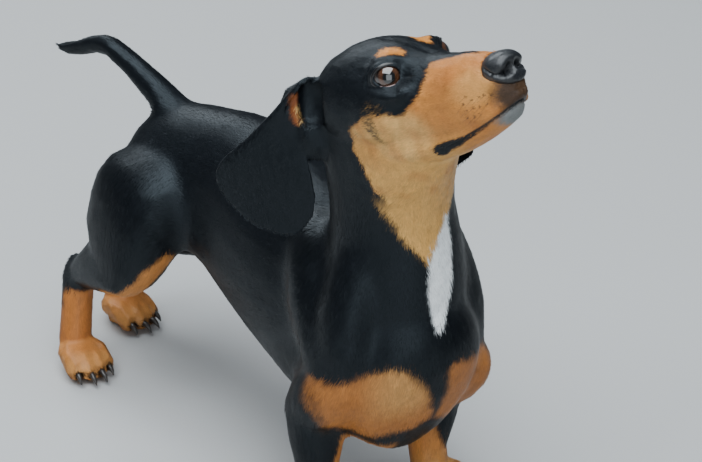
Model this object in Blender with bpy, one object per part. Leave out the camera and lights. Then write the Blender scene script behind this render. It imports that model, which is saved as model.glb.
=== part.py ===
"""A life-size short-haired dachshund, standing square with its head raised and turned a little to its left.

The animal faces -Y, its left side is +X and the floor is Z = 0. Sizes in the tables are millimetres.
Every limb is a run of rounded sections. The limbs grow together into one smooth body, which is then
divided with thin cuts into the parts that a person would name.
"""

import math

import bmesh
import bpy
import numpy as np
from mathutils import Matrix, Vector
from mathutils.bvhtree import BVHTree

MM = 0.001
GAP = 0.3 * MM

TRUNK_VOXEL = 2.4 * MM
TRUNK_SMOOTHING = 16
BODY_VOXEL = 1.7 * MM
BODY_SMOOTHING = 4
BODY_TRIANGLES = 4000
HEAD_SMOOTHING = 6
# How freely faces are thinned: overall, and at the face, which lies within two limits in the head's frame.
FINE_WEIGHT = 0.02
FACE_WEIGHT = 0.75
FACE_BACK = 40
FACE_BOTTOM = -60

# Where the body is parted: a point and the direction of the part that is taken off.
HEAD_CUT = ((-12, -95, 272), (0.03, -0.25, 0.97))
NECK_CUT = ((2, -100, 186), (0.0, -0.45, 0.89))
TAIL_CUT = ((2, 143, 199), (0.0, 0.84, 0.54))
KNEE_CUT_OFFSET = (0, 14, -4)
KNEE_CUT_DIRECTION = (0, 0.42, -0.91)
CUT_SIZE = (400, 400, 400)
LEVEL_CUT_SIZE = (900, 900, 400)
FLOOR_SIZE = (1200, 1200, 60)

TAN_NODES = ("front_paw", "hind_paw", "hock")
BLACK = (0.012, 0.012, 0.014)
TAN = (0.42, 0.19, 0.07)
LEATHER = (0.02, 0.02, 0.022)
IRIS = (0.10, 0.04, 0.015)

# The head has its own frame at the midpoint between the eyes: x to its left, y to its back, z up.
HEAD_ORIGIN = (-10.8, -136.5, 322.8)
HEAD_YAW = 7.4
HEAD_PITCH = 28.5
HEAD_ROLL = 2.5

# Torso stations from the breastbone to the rump: x, y, z, half width, height above, depth below.
TORSO = (
    (2, -149, 120, 11, 12, 16, 0.05),
    (3, -142, 122, 30, 32, 44, 0.08),
    (4, -127, 125, 42, 48, 67, 0.10),
    (4, -104, 127, 46, 58, 76, 0.10),
    (5, -75, 127, 49, 65, 74, 0.08),
    (6, -45, 128, 50, 71, 71, 0.05),
    (10, -10, 129, 51, 73, 64, 0),
    (14, 25, 132, 50, 74, 56, 0),
    (16, 60, 136, 46, 73, 48, 0),
    (13, 90, 141, 43, 67, 42, 0),
    (7, 115, 146, 41, 56, 41, 0),
    (0, 138, 147, 37, 45, 38, 0),
    (-6, 154, 146, 26, 30, 28, 0),
    (-8, 161, 145, 8, 9, 9, 0),
)

# Neck stations from the chest to the skull: x, y, z, half width, throat depth, nape depth.
NECK = (
    (3, -92, 145, 42, 47, 44),
    (4, -98, 170, 43, 48, 46),
    (3, -101, 194, 39, 43, 43),
    (1, -100, 217, 36.5, 41, 40),
    (-2, -98, 240, 35, 51, 38),
    (-6, -97, 262, 34, 62.5, 37),
    (-10, -97, 284, 32, 65, 35),
    (-14, -95, 300, 22, 28, 25),
)

# Tail stations from the croup to the tip: x, y, z, half width, height above, depth below.
TAIL = (
    (7, 112, 178, 10, 12, 12),
    (4, 126, 187, 13.5, 12.5, 13.5),
    (0, 146, 200, 10.8, 11, 10.8),
    (-3, 165, 208.5, 9.4, 9.4, 9.0),
    (-6, 180, 215.5, 8.8, 8.6, 8.6),
    (-8, 192, 219, 8.4, 8, 8.2),
    (-10.5, 204, 217, 7.8, 7.4, 7.6),
    (-13.5, 216, 211.5, 7.2, 6.8, 7),
    (-15.5, 228, 207, 6.6, 6.2, 6.2),
    (-17.5, 238, 205.5, 5.0, 4.8, 4.8),
    (-20, 247, 205.5, 1.6, 1.6, 1.6),
)

# Shoulder blade stations, outward from the spine: out, y, z, half width, front, back.
SCAPULA = (
    (14, -44, 190, 7, 12, 13),
    (24, -52, 178, 13, 22, 22),
    (34, -68, 157, 17, 25, 26),
    (41, -88, 135, 18, 24, 26),
    (44, -104, 117, 16, 20, 22),
    (44, -110, 108, 9, 11, 13),
)

# Upper arm, elbow and forearm: out, y, z, half width, front, back. The lower rows are moved to the foot.
UPPER_ARM = (
    (40, -108, 126, 10, 11, 12),
    (44, -104, 116, 18, 20, 21),
    (47, -93, 103, 19.5, 22, 23),
    (48, -82, 92, 18.5, 21, 22),
    (47, -73, 83, 15.5, 18, 18),
    (46, -70, 76, 10, 11, 11),
)
FOREARM = (
    (46, -74, 94, 11, 12, 14),
    (46, -74, 84, 17, 20, 20),
    (44, -76, 72, 18, 19.5, 19),
    (42, -78, 58, 17.5, 18.5, 18),
    (40.5, -80, 44, 15, 16, 15.5),
    (40, -81, 33, 13, 13.8, 13.5),
    (39.5, -83, 24, 12.6, 13.4, 12.6),
    (39.5, -86, 15, 12, 13, 12),
    (39.5, -88, 8, 9, 9, 9),
)
# Where the forearm's own table puts the foot, and the heights between which each shift fades.
FOOT_OUT = 39.5
FOOT_Y = -86
LEG_FADE = (92, 60)
SHOULDER_FADE = (175, 60)
SPINE_X = 3.0
SHOULDER_SHIFT = {"right": (2.0, -2.0), "left": (-1.0, -7.0)}
ELBOW_SHIFT = {"right": (4.5, -2.0, 0.0), "left": (1.5, -8.0, -13.0)}

# The muscle from the side of the neck to the point of the shoulder: out, y, z, half width, front, back.
SHOULDER_STRAP = (
    (16, -102, 226, 9, 12, 12),
    (22, -104, 208, 13, 16, 18),
    (30, -106, 184, 16, 18, 20),
    (39, -106, 160, 16, 18, 20),
    (44, -106, 134, 15, 18, 20),
    (45, -104, 118, 10, 12, 12),
)

# Thigh, shank and hind foot as shares of the bone's length: share, half width, front, back.
THIGH = (
    (-0.30, 9, 16, 18),
    (-0.10, 20, 30, 42),
    (0.15, 25, 36, 53),
    (0.45, 25, 34, 56),
    (0.75, 21.5, 27, 54),
    (1.00, 17, 18, 38),
    (1.14, 10, 10, 18),
)
SHANK = (
    (-0.14, 9, 9, 10),
    (0.02, 16, 15, 24),
    (0.30, 16, 14.5, 29),
    (0.60, 14, 13, 24),
    (0.85, 11.5, 11.5, 14.5),
    (1.05, 10, 10.5, 10.5),
)
HIND_CANNON = (
    (-0.18, 7, 7, 7.5),
    (0.00, 11.4, 11.6, 12.4),
    (0.30, 11.6, 12.2, 12.4),
    (0.65, 11.8, 12.2, 12),
    (0.95, 11.6, 11.6, 11.6),
    (1.08, 8, 8, 8),
)
RIGHT_HIND_LEG = {
    "hip": (-28, 112, 156),
    "knee": (-47, 114, 93),
    "hock": (-45, 184, 66),
    "foot": (-56, 177, 12),
}
LEFT_HIND_LEG = {
    "hip": (31, 112, 156),
    "knee": (36, 124, 92),
    "hock": (14, 201, 67),
    "foot": (4, 216, 12),
}
HIND_LEGS = {"right": RIGHT_HIND_LEG, "left": LEFT_HIND_LEG}
HEEL_OFFSET = (0, 4, 5)
HEEL_RADII = (6.5, 6.5, 9)
FRONT_FEET = {"right": (-37, -80), "left": (39, -93)}

# The room of a front leg from shoulder blade to floor: out, y, z, half width, front, back.
FRONT_ROOM = (
    (60, -50, 177, 26, 16, 16),
    (60, -58, 162, 32, 26, 26),
    (60, -78, 136, 34, 36, 34),
    (60, -84, 112, 34, 38, 36),
    (60, -82, 90, 36, 36, 34),
    (57, -82, 72, 37, 32, 32),
    (52, -84, 58, 33, 34, 34),
    (48, -90, 30, 36, 46, 44),
    (48, -92, -8, 36, 52, 46),
)
# The room of a hind leg from the haunch to the floor, in the same order. FOOT_ROOM is beside the foot.
HIND_ROOM = (
    (58, 106, 177, 27, 28, 28),
    (58, 110, 160, 31, 40, 46),
    (58, 114, 138, 33, 42, 58),
    (58, 120, 115, 36, 44, 64),
    (58, 128, 96, 38, 44, 70),
    (58, 140, 80, 38, 52, 84),
    (58, 160, 60, 36, 66, 74),
    (58, 180, 30, 34, 64, 54),
    (58, 184, -8, 34, 68, 54),
)
FOOT_ROOM = 8
ROOM_FADE = (96, 50)
FRONT_ROOM_FOOT = (48, -86)
HIND_ROOM_FOOT = (58, 180)
HIND_ROOM_HIP = 28
ELBOW_CUT = 79
WRIST_CUT = 25
HOCK_CUT = 57
HIND_PAW_CUT = 24
TOE_YAW = {"front_right": 10, "front_left": -10, "hind_right": 4, "hind_left": -14}
PAW_WIDTH = {"front": 1.08, "hind": 0.94}
PAW_SETBACK = {"front": 6, "hind": 8}
LEGS = (("front", "right"), ("front", "left"), ("hind", "right"), ("hind", "left"))

# The toes from the outer to the inner: sideways place, and how far forward the tip reaches, as shares.
TOES = ((-1.5, 0.80), (-0.5, 1.0), (0.5, 1.0), (1.5, 0.80))
# A toe from root to tip and its claw: spread, forward, z, half width, above, below.
TOE = (
    (4.8, 9, 13, 6, 6, 6),
    (6.4, 1, 14.5, 6.8, 7, 7.5),
    (7.4, -8, 13.5, 7.0, 7, 8.5),
    (8.0, -15.5, 9.5, 6.6, 6.8, 8.5),
    (8.2, -20.5, 6.2, 5.4, 5.4, 6.2),
    (8.2, -23.5, 5.0, 2.4, 2.4, 3.0),
)
CLAW = (
    (8.1, -19, 8.0, 2.0, 2.2, 2.2),
    (8.3, -23.5, 8.0, 1.9, 2.1, 2.1),
    (8.5, -27, 6.2, 1.5, 1.7, 1.7),
    (8.6, -29.5, 3.0, 0.7, 0.7, 0.7),
)
INSTEP = ((0, 4, 13), (14, 14, 10))
PAD = ((0, 3, 3.5), (11, 9, 5))

# Upper head from nose to nape, in the head frame: y, z, half width, height above, depth below, pear.
SKULL = (
    (-73, -21, 3, 5, 8, 0.0),
    (-71, -21.5, 6.8, 11, 13, 0.05),
    (-65.5, -22, 10.8, 16.0, 16, 0.08),
    (-57, -23, 14.2, 19.0, 18.7, 0.12),
    (-44, -23, 17.8, 21.6, 23, 0.16),
    (-28, -22, 21.2, 22.4, 27.5, 0.15),
    (-14, -19, 24, 22, 31, 0.14),
    (-3, -16, 27.2, 24, 33, 0.12),
    (10, -13, 30.5, 28.7, 35, 0.05),
    (28, -11, 33.5, 31.5, 36, 0.0),
    (48, -9, 33, 30, 33, 0.0),
    (66, -6, 27, 23.5, 27, 0.0),
    (78, -3, 17, 12.5, 16, 0.0),
    (84, -2, 7, 4.5, 6, 0.0),
)
# Lower jaw from chin to throat, in the head frame: y, z, half width, height above, depth below.
JAW = (
    (-67.5, -37, 3, 3, 4),
    (-64, -37.5, 6.4, 5.5, 6.4),
    (-57, -39, 9.4, 8, 7.8),
    (-46, -41, 12.4, 9, 9),
    (-30, -43, 15.6, 10, 11),
    (-10, -44, 20, 14, 13),
    (8, -43, 24.5, 18, 13.5),
    (22, -40, 26, 18, 14.5),
    (36, -34, 24, 18, 16),
    (50, -28, 18, 14, 14),
)
# Cheeks, brows and muzzle pads in the head frame: centre, radii. Each is on both sides.
CHEEK = ((24, 21, -17), (11, 22, 19))
ZYGOMA = ((26.5, 4, -8), (6, 20, 7))
BROW = ((16.5, 4, 4.5), (9.5, 12, 7.5))
LIP_PAD = ((10.8, -44, -33.5), (7, 21, 8.5))

EYE_CENTRE = (17.8, 6.2, -0.5)
EYE_RADIUS = 10.0
EYE_TURN = 38.0
EYE_DETAIL = 3
LID_RADIUS = 12.6
LID_OPENING = (8.6, 6.3)
ORBIT_DISH = ((0, 19.4, 0), (13, 7.6, 10))

MOUTH_LINE = (
    (-76, -32),
    (-73, -34),
    (-69, -36),
    (-60, -39),
    (-48, -42.5),
    (-32, -46),
    (-20, -47.5),
    (-14, -48),
)
MOUTH_GROOVE = 0.9
MOUTH_REACH = 60

NOSE = (
    (-76.4, -18.2, 3.0, 4.8, 4.0, 0.0),
    (-75.6, -18.0, 6.6, 7.8, 6.2, 0.0),
    (-73.0, -17.4, 9.2, 9.8, 7.8, 0.0),
    (-69.0, -16.8, 10.9, 10.6, 8.0, -0.03),
    (-63.5, -16.2, 11.4, 10.2, 7.2, -0.04),
    (-58.0, -15.7, 9.8, 8.6, 5.8, 0.0),
    (-53.5, -15.5, 5.6, 6.0, 4.0, 0.0),
)
NOSTRIL = ((5.2, -75.2, -17.4), (2.8, 4.8, 3.0))
NOSTRIL_SLIT = ((10.4, -68.6, -19.0), (3.2, 6.2, 1.3))
NOSTRIL_TURN = -28

# Ear rows from root to tip: front edge, middle, rear edge.
EAR_RIGHT = (
    ((-36, -83, 300), (-31, -77, 296), (-28, -70, 278)),
    ((-46.5, -81.5, 302.5), (-45.5, -77, 301.5), (-40, -66, 281)),
    ((-51, -79.5, 297), (-53, -73, 294), (-46, -58, 274)),
    ((-53, -77.5, 289), (-60, -67, 282), (-56, -52, 266)),
    ((-52.5, -76, 281), (-65, -62, 272), (-66, -48, 258)),
    ((-51, -78, 272), (-67, -60, 264), (-75, -43, 251)),
    ((-49, -82, 260), (-67, -60, 254), (-79, -38, 243)),
    ((-47, -85, 247), (-66, -61, 243), (-80, -34, 234)),
    ((-45, -87, 232), (-64, -62, 230), (-78.5, -36, 224)),
    ((-45, -86, 219), (-62, -63, 218), (-73, -44, 213)),
    ((-47.5, -82, 210), (-59, -66, 208), (-67, -54, 205)),
    ((-51, -77, 203.5), (-57, -69, 202.5), (-61, -62, 202)),
    ((-54, -73, 201), (-55.5, -71, 200.8), (-57, -69, 200.8)),
)
EAR_LEFT = (
    ((-2, -97, 304), (-4, -86, 298), (-6, -74, 280)),
    ((9, -96, 305), (11, -84, 307), (8, -69, 287)),
    ((17, -91, 302), (21, -80, 301), (18, -60, 281)),
    ((24, -92, 294), (30, -77, 289), (28, -54, 274)),
    ((31, -97, 285), (38, -76, 279), (36, -51, 265)),
    ((36, -103, 276), (43, -76, 269), (43, -49, 256)),
    ((41, -111, 265), (46, -77, 258), (47, -47, 246)),
    ((46, -118, 254), (49, -78, 247), (49, -46, 236)),
    ((48, -119, 244), (51, -79, 235), (50, -48, 226)),
    ((47, -110, 234), (51, -79, 223), (50, -55, 217)),
    ((47, -99, 224), (50, -78, 214), (49, -63, 210)),
    ((47, -88, 214), (49, -78, 209), (48.5, -70, 207.5)),
    ((48, -81, 207), (48.5, -78, 206), (48.5, -75, 206)),
)
EAR_BASE = {"right": (-41, -74, 281), "left": (10, -74, 284)}
EAR_BASE_RADII = (12.5, 13, 18)
# The swell of the neck below each ear's root, which the leaf of the ear lies against.
NECK_SWELL = {"right": (-37.5, -78, 267), "left": (20, -78, 268)}
NECK_SWELL_RADII = (14.5, 14, 19)
# The pad of flesh between each ear's root and its leaf, which closes the back of the cup.
EAR_PAD = {"right": (-47, -69, 280), "left": (21, -75, 283)}
EAR_PAD_RADII = (8.5, 9, 16)
EAR_CUP = {"right": (-47.5, -87, 290), "left": (15, -88, 291)}
EAR_CUP_RADII = (10, 10, 15.5)
EAR_THICKNESS = 3.6
EAR_COLUMNS = 14
EAR_STEPS = 3
EAR_RIM = 0.45
EAR_VOXEL = 0.9 * MM
EAR_SMOOTHING = 3
EAR_TRIANGLES = 560


def clear_scene():
    for obj in list(bpy.data.objects):
        bpy.data.objects.remove(obj, do_unlink=True)


def material(name, colour, roughness):
    made = bpy.data.materials.new(name)
    made.use_nodes = True
    shader = made.node_tree.nodes["Principled BSDF"]
    shader.inputs["Base Color"].default_value = (*colour, 1.0)
    shader.inputs["Roughness"].default_value = roughness
    made.diffuse_color = (*colour, 1.0)
    return made


def head_matrix():
    turn = (
        Matrix.Rotation(math.radians(HEAD_YAW), 4, "Z")
        @ Matrix.Rotation(math.radians(-HEAD_PITCH), 4, "X")
        @ Matrix.Rotation(math.radians(-HEAD_ROLL), 4, "Y")
    )
    return Matrix.Translation(Vector(HEAD_ORIGIN) * MM) @ turn


def mesh_object(name, points, faces):
    """An object from points in millimetres, linked to the scene."""
    mesh = bpy.data.meshes.new(name)
    mesh.from_pydata([tuple(p) for p in np.asarray(points, float) * MM], [], faces)
    obj = bpy.data.objects.new(name, mesh)
    bpy.context.scene.collection.objects.link(obj)
    return obj


def smooth_rows(rows, steps):
    """Catmull-Rom rows between the given ones, as one array."""
    rows = np.asarray(rows, float)
    padded = np.vstack([2 * rows[0] - rows[1], rows, 2 * rows[-1] - rows[-2]])
    made = []
    for i in range(1, len(padded) - 2):
        a, b, c, d = padded[i - 1 : i + 3]
        square, cube = 2 * a - 5 * b + 4 * c - d, 3 * b - a - 3 * c + d
        for t in np.arange(steps) / steps:
            made.append(b + 0.5 * ((c - a) * t + square * t**2 + cube * t**3))
    made.append(rows[-1])
    return np.array(made)


def ring_faces(count, segments):
    """Quads between successive rings and a fan over each end ring."""
    faces = []
    for start in range(0, (count - 1) * segments, segments):
        for j in range(segments):
            k = (j + 1) % segments
            faces.append((start + j, start + k, start + segments + k, start + segments + j))
    faces.append(tuple(range(segments))[::-1])
    faces.append(tuple((count - 1) * segments + j for j in range(segments)))
    return faces


def outward(obj):
    """Turns the faces of a closed mesh outward."""
    form = bmesh.new()
    form.from_mesh(obj.data)
    bmesh.ops.recalc_face_normals(form, faces=form.faces)
    if form.calc_volume(signed=True) < 0:
        bmesh.ops.reverse_faces(form, faces=form.faces)
    form.to_mesh(obj.data)
    form.free()
    return obj


def loft(name, rows, segments=24, steps=4, side=(1, 0, 0), grow=0.0, level=False):
    """A closed tube along rows of (x, y, z, half width, plus, minus[, pear]).

    Half width is along side. Plus and minus are the radii along side x travel, on either hand, and pear
    narrows the plus end of a section and widens its minus end. Sections are square to the run, or level.
    """
    rows = smooth_rows(rows, steps)
    centres = rows[:, :3]
    travel = np.gradient(centres, axis=0)
    if level:
        travel[:, :2] = 0.0
    travel /= np.linalg.norm(travel, axis=1)[:, None]
    centres[0] -= travel[0] * grow
    centres[-1] += travel[-1] * grow
    angles = np.arange(segments) * 2 * math.pi / segments
    points = []
    for i, row in enumerate(rows):
        across = np.array(side, float) - travel[i] * np.dot(side, travel[i])
        across /= np.linalg.norm(across)
        plus = np.cross(across, travel[i])
        pear = row[6] if len(row) > 6 else 0.0
        for angle in angles:
            c, s = math.cos(angle), math.sin(angle)
            reach = row[4] if s > 0 else row[5]
            width = (max(row[3], 0.2) + grow) * (1 - pear * s)
            points.append(centres[i] + across * c * width + plus * s * (max(reach, 0.2) + grow))
    return outward(mesh_object(name, points, ring_faces(len(rows), segments)))


def head_loft(name, rows, **options):
    """A loft along the head's y axis, from rows of (y, z, half width, above, below[, pear])."""
    made = loft(name, [(0, *row) for row in rows], **options)
    made.data.transform(head_matrix())
    return made


def ellipsoid(name, centre, radii, matrix=None, turn=None, detail=3):
    form = bmesh.new()
    bmesh.ops.create_icosphere(form, subdivisions=detail, radius=1.0)
    bmesh.ops.transform(form, matrix=Matrix.Diagonal((*[r * MM for r in radii], 1.0)), verts=form.verts)
    mesh = bpy.data.meshes.new(name)
    form.to_mesh(mesh)
    form.free()
    place = Matrix.Translation(Vector(centre) * MM)
    if turn is not None:
        place = place @ turn
    mesh.transform(matrix @ place if matrix is not None else place)
    obj = bpy.data.objects.new(name, mesh)
    bpy.context.scene.collection.objects.link(obj)
    return obj


def joined(name, objects):
    """One object that holds the meshes of several, which are removed."""
    form = bmesh.new()
    for obj in objects:
        form.from_mesh(obj.data)
    mesh = bpy.data.meshes.new(name)
    form.to_mesh(mesh)
    form.free()
    for obj in objects:
        bpy.data.objects.remove(obj, do_unlink=True)
    made = bpy.data.objects.new(name, mesh)
    bpy.context.scene.collection.objects.link(made)
    return made


def apply_modifiers(obj):
    graph = bpy.context.evaluated_depsgraph_get()
    mesh = bpy.data.meshes.new_from_object(obj.evaluated_get(graph))
    obj.modifiers.clear()
    obj.data = mesh
    return obj


def fused(obj, voxel, smoothing):
    """The overlapping forms in obj made one smooth skin."""
    remesh = obj.modifiers.new("Fuse", "REMESH")
    remesh.mode = "VOXEL"
    remesh.voxel_size = voxel
    smooth = obj.modifiers.new("Soften", "SMOOTH")
    smooth.factor = 0.5
    smooth.iterations = smoothing
    return apply_modifiers(obj)


def boolean(obj, tool, operation, solver="EXACT", remove=True):
    modifier = obj.modifiers.new(operation, "BOOLEAN")
    modifier.operation = operation
    modifier.solver = solver
    modifier.object = tool
    apply_modifiers(obj)
    if remove:
        bpy.data.objects.remove(tool, do_unlink=True)
    return keep_largest(obj)


def keep_largest(obj):
    """Drops all but the closed surface of the greatest size."""
    form = bmesh.new()
    form.from_mesh(obj.data)
    left = set(form.verts)
    groups = []
    while left:
        stack = [left.pop()]
        group = set(stack)
        while stack:
            for edge in stack.pop().link_edges:
                for vert in edge.verts:
                    if vert in left:
                        left.discard(vert)
                        group.add(vert)
                        stack.append(vert)
        groups.append(group)
    groups.sort(key=lambda g: len(g), reverse=True)
    loose = [v for g in groups[1:] for v in g]
    bmesh.ops.delete(form, geom=loose, context="VERTS")
    form.to_mesh(obj.data)
    form.free()
    return obj


def copy_of(obj, name):
    made = obj.copy()
    made.data = obj.data.copy()
    made.name = name
    bpy.context.scene.collection.objects.link(made)
    return made


def swollen(obj, name, amount=GAP):
    """A copy of obj that is larger by amount all round."""
    made = copy_of(obj, name)
    swell = made.modifiers.new("Swell", "DISPLACE")
    swell.mid_level = 0.0
    swell.strength = amount
    swell.direction = "NORMAL"
    return apply_modifiers(made)


def box_region(name, matrix, size):
    """A box whose local z = 0 face is the cut and which reaches up along +z. Size is millimetres."""
    form = bmesh.new()
    bmesh.ops.create_cube(form, size=1.0)
    bmesh.ops.translate(form, vec=(0, 0, 0.5), verts=form.verts)
    bmesh.ops.scale(form, vec=Vector(size) * MM, verts=form.verts)
    mesh = bpy.data.meshes.new(name)
    form.to_mesh(mesh)
    form.free()
    mesh.transform(matrix)
    obj = bpy.data.objects.new(name, mesh)
    bpy.context.scene.collection.objects.link(obj)
    return outward(obj)


def plane_at(point, direction):
    """A frame at point whose z axis is direction."""
    turn = Vector(direction).to_track_quat("Z", "Y").to_matrix().to_4x4()
    return Matrix.Translation(Vector(point) * MM) @ turn


def bone_rows(start, end, table):
    """Loft rows along the line from start to end, from a table of shares and radii."""
    start, end = np.array(start, float), np.array(end, float)
    return [(*(start + (end - start) * share), width, back, front) for share, width, front, back in table]


def fade(z, limits):
    """0 above the first height and 1 where z has fallen by the second."""
    top, run = limits
    return min(1.0, max(0.0, (top - z) / run))


def shoulder_rows(side, table):
    """Rows of a shoulder form on one side."""
    sign = -1 if side == "right" else 1
    shift_x, shift_y = SHOULDER_SHIFT[side]
    rows = []
    for out, y, z, width, front, back in table:
        share = fade(z, SHOULDER_FADE)
        rows.append((SPINE_X + sign * out + share * shift_x, y + share * shift_y, z, width, back, front))
    return rows


def front_leg_rows(side, table):
    """Rows of a front leg on one side, with those below the elbow moved towards that foot."""
    sign = -1 if side == "right" else 1
    foot_x, foot_y = FRONT_FEET[side]
    rows = []
    for out, y, z, width, front, back in table:
        share = fade(z, LEG_FADE)
        elbow_x, elbow_y, elbow_z = ELBOW_SHIFT[side]
        shift_x = (1 - share) * elbow_x + share * (foot_x - (SPINE_X + sign * FOOT_OUT))
        shift_y = (1 - share) * elbow_y + share * (foot_y - FOOT_Y)
        height = z + (1 - share) * elbow_z
        rows.append((SPINE_X + sign * out + shift_x, y + shift_y, height, width, back, front))
    return rows


def trunk_forms():
    """Lofts of the torso, neck, tail, shoulders and legs."""
    forms = [loft("torso_form", TORSO), loft("neck_form", NECK), loft("tail_form", TAIL, segments=16)]
    for side in ("right", "left"):
        forms.append(loft("scapula_form", shoulder_rows(side, SCAPULA)))
        forms.append(loft("strap_form", shoulder_rows(side, SHOULDER_STRAP)))
        forms.append(loft("upper_arm_form", front_leg_rows(side, UPPER_ARM)))
        forms.append(loft("forearm_form", front_leg_rows(side, FOREARM)))
        leg = HIND_LEGS[side]
        forms.append(loft("thigh_form", bone_rows(leg["hip"], leg["knee"], THIGH)))
        forms.append(loft("shank_form", bone_rows(leg["knee"], leg["hock"], SHANK)))
        forms.append(loft("cannon_form", bone_rows(leg["hock"], leg["foot"], HIND_CANNON)))
        heel = Vector(leg["hock"]) + Vector(HEEL_OFFSET)
        forms.append(ellipsoid("heel_form", heel, HEEL_RADII))
    return forms


def paw_matrix(kind, side):
    x, y = FRONT_FEET[side] if kind == "front" else HIND_LEGS[side]["foot"][:2]
    turn = Matrix.Rotation(math.radians(-TOE_YAW[f"{kind}_{side}"]), 4, "Z")
    return Matrix.Translation(Vector((x, y - PAW_SETBACK[kind], 0)) * MM) @ turn


def toe_rows(table, kind, across, reach):
    """Rows of one toe or claw in the frame of its paw."""
    wide = PAW_WIDTH[kind]
    return [(across * spread * wide, y * (reach if y < 0 else 1), *rest) for spread, y, *rest in table]


def paw_forms(kind, side):
    """Toes and pads of one paw, which stand a little below the floor and are trimmed flat later."""
    place = paw_matrix(kind, side)
    forms = []
    for across, reach in TOES:
        made = loft("toe_form", toe_rows(TOE, kind, across, reach), segments=14)
        made.data.transform(place)
        forms.append(made)
    for name, (centre, radii) in (("instep_form", INSTEP), ("pad_form", PAD)):
        radii = (radii[0] * PAW_WIDTH[kind], *radii[1:])
        forms.append(ellipsoid(name, centre, radii, matrix=place))
    return forms


def claw_forms(kind, side):
    """Four short curved claws, rooted in the toe tips."""
    place = paw_matrix(kind, side)
    forms = []
    for across, reach in TOES:
        made = loft("claw_form", toe_rows(CLAW, kind, across, reach), segments=7, steps=1)
        made.data.transform(place)
        forms.append(made)
    return forms


def head_forms():
    """Skull and muzzle, lower jaw, cheeks, brows, lips and the bulge of the lids."""
    place = head_matrix()
    forms = [head_loft("skull_form", SKULL, segments=32), head_loft("jaw_form", JAW, segments=28)]
    swells = {"cheek": CHEEK, "zygoma": ZYGOMA, "brow": BROW, "lip": LIP_PAD}
    for sign in (-1, 1):
        for name, (centre, radii) in swells.items():
            mirrored = (sign * centre[0], centre[1], centre[2])
            forms.append(ellipsoid(name + "_form", mirrored, radii, matrix=place))
        forms.append(ellipsoid("lid_form", (0, 0, 0), (LID_RADIUS,) * 3, matrix=eye_frame(sign)))
    for centre in EAR_BASE.values():
        forms.append(ellipsoid("ear_base_form", centre, EAR_BASE_RADII))
    for centre in NECK_SWELL.values():
        forms.append(ellipsoid("neck_swell_form", centre, NECK_SWELL_RADII))
    for centre in EAR_PAD.values():
        forms.append(ellipsoid("ear_pad_form", centre, EAR_PAD_RADII))
    return forms


def flesh():
    """The whole animal but for ears, eyes and nose, as one closed mesh of few faces."""
    trunk = fused(joined("trunk", trunk_forms()), TRUNK_VOXEL, TRUNK_SMOOTHING)
    head = fused(joined("head_flesh", head_forms()), BODY_VOXEL, HEAD_SMOOTHING)
    for sign in (-1, 1):
        boolean(head, ellipsoid("orbit_dish", *ORBIT_DISH, matrix=eye_frame(sign)), "DIFFERENCE")
    paws = [form for kind, side in LEGS for form in paw_forms(kind, side)]
    body = fused(joined("body", [trunk, head, *paws]), BODY_VOXEL, BODY_SMOOTHING)
    return thinned(keep_largest(body))


def thinned(body):
    """Few faces on the body, and more on the head."""
    place = head_matrix().inverted()
    group = body.vertex_groups.new(name="fine")
    for vert in body.data.vertices:
        local = place @ vert.co / MM
        fine = local.y < FACE_BACK and local.z > FACE_BOTTOM
        group.add([vert.index], FACE_WEIGHT if fine else 1.0, "REPLACE")
    thin_to(body, BODY_TRIANGLES, "fine")
    body.vertex_groups.clear()
    return body


def thin_to(obj, triangles, group=""):
    """Fewer faces, with fewer lost where the group's weights are low."""
    thin = obj.modifiers.new("Thin", "DECIMATE")
    thin.ratio = triangles / (2 * len(obj.data.polygons))
    if group:
        thin.vertex_group = group
        thin.vertex_group_factor = FINE_WEIGHT
    return apply_modifiers(obj)


def eye_frame(sign):
    """A frame at an eyeball's centre: x across the lids, y out of the eye, z up."""
    centre = Matrix.Translation(Vector((sign * EYE_CENTRE[0], EYE_CENTRE[1], EYE_CENTRE[2])) * MM)
    turn = Matrix.Rotation(math.radians(180 + sign * EYE_TURN), 4, "Z")
    return head_matrix() @ centre @ turn


def cut_eye(body, side, sign):
    """Opens the lids over a round eye, and returns the eye."""
    frame = eye_frame(sign)
    radii = (LID_OPENING[0], 1.2 * EYE_RADIUS, LID_OPENING[1])
    slit = ellipsoid("lid_slit", (0, 1.2 * EYE_RADIUS, 0), radii, matrix=frame)
    boolean(body, slit, "DIFFERENCE")
    socket = ellipsoid("socket", (0, 0, 0), (EYE_RADIUS + GAP / MM,) * 3, matrix=frame, detail=EYE_DETAIL)
    boolean(body, socket, "DIFFERENCE")
    return ellipsoid(f"eye_{side}", (0, 0, 0), (EYE_RADIUS,) * 3, matrix=frame, detail=EYE_DETAIL)


def surface_point(tree, origin, aim, place):
    """Where a ray in the head frame meets the skin, in the head frame, or None."""
    start = place @ (Vector(origin) * MM)
    toward = (place.to_3x3() @ Vector(aim)).normalized()
    hit = tree.ray_cast(start, toward)[0]
    return None if hit is None else place.inverted() @ hit / MM


def mouth_groove(body):
    """A thin tube along the line between the lips, sunk half into the skin."""
    place = head_matrix()
    tree = BVHTree.FromObject(body, bpy.context.evaluated_depsgraph_get())
    side_points = []
    for sign in (-1, 1):
        starts = [(sign * MOUTH_REACH, y, z) for y, z in MOUTH_LINE]
        found = [surface_point(tree, start, (-sign, 0, 0), place) for start in starts]
        found = [tuple(point) for point in found if point is not None]
        side_points += found if sign > 0 else found[::-1]
    rows = [(*point, MOUTH_GROOVE, MOUTH_GROOVE, MOUTH_GROOVE) for point in side_points]
    groove = loft("mouth_groove", rows, segments=6, steps=2, side=(0, 0, 1))
    groove.data.transform(place)
    return groove


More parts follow.
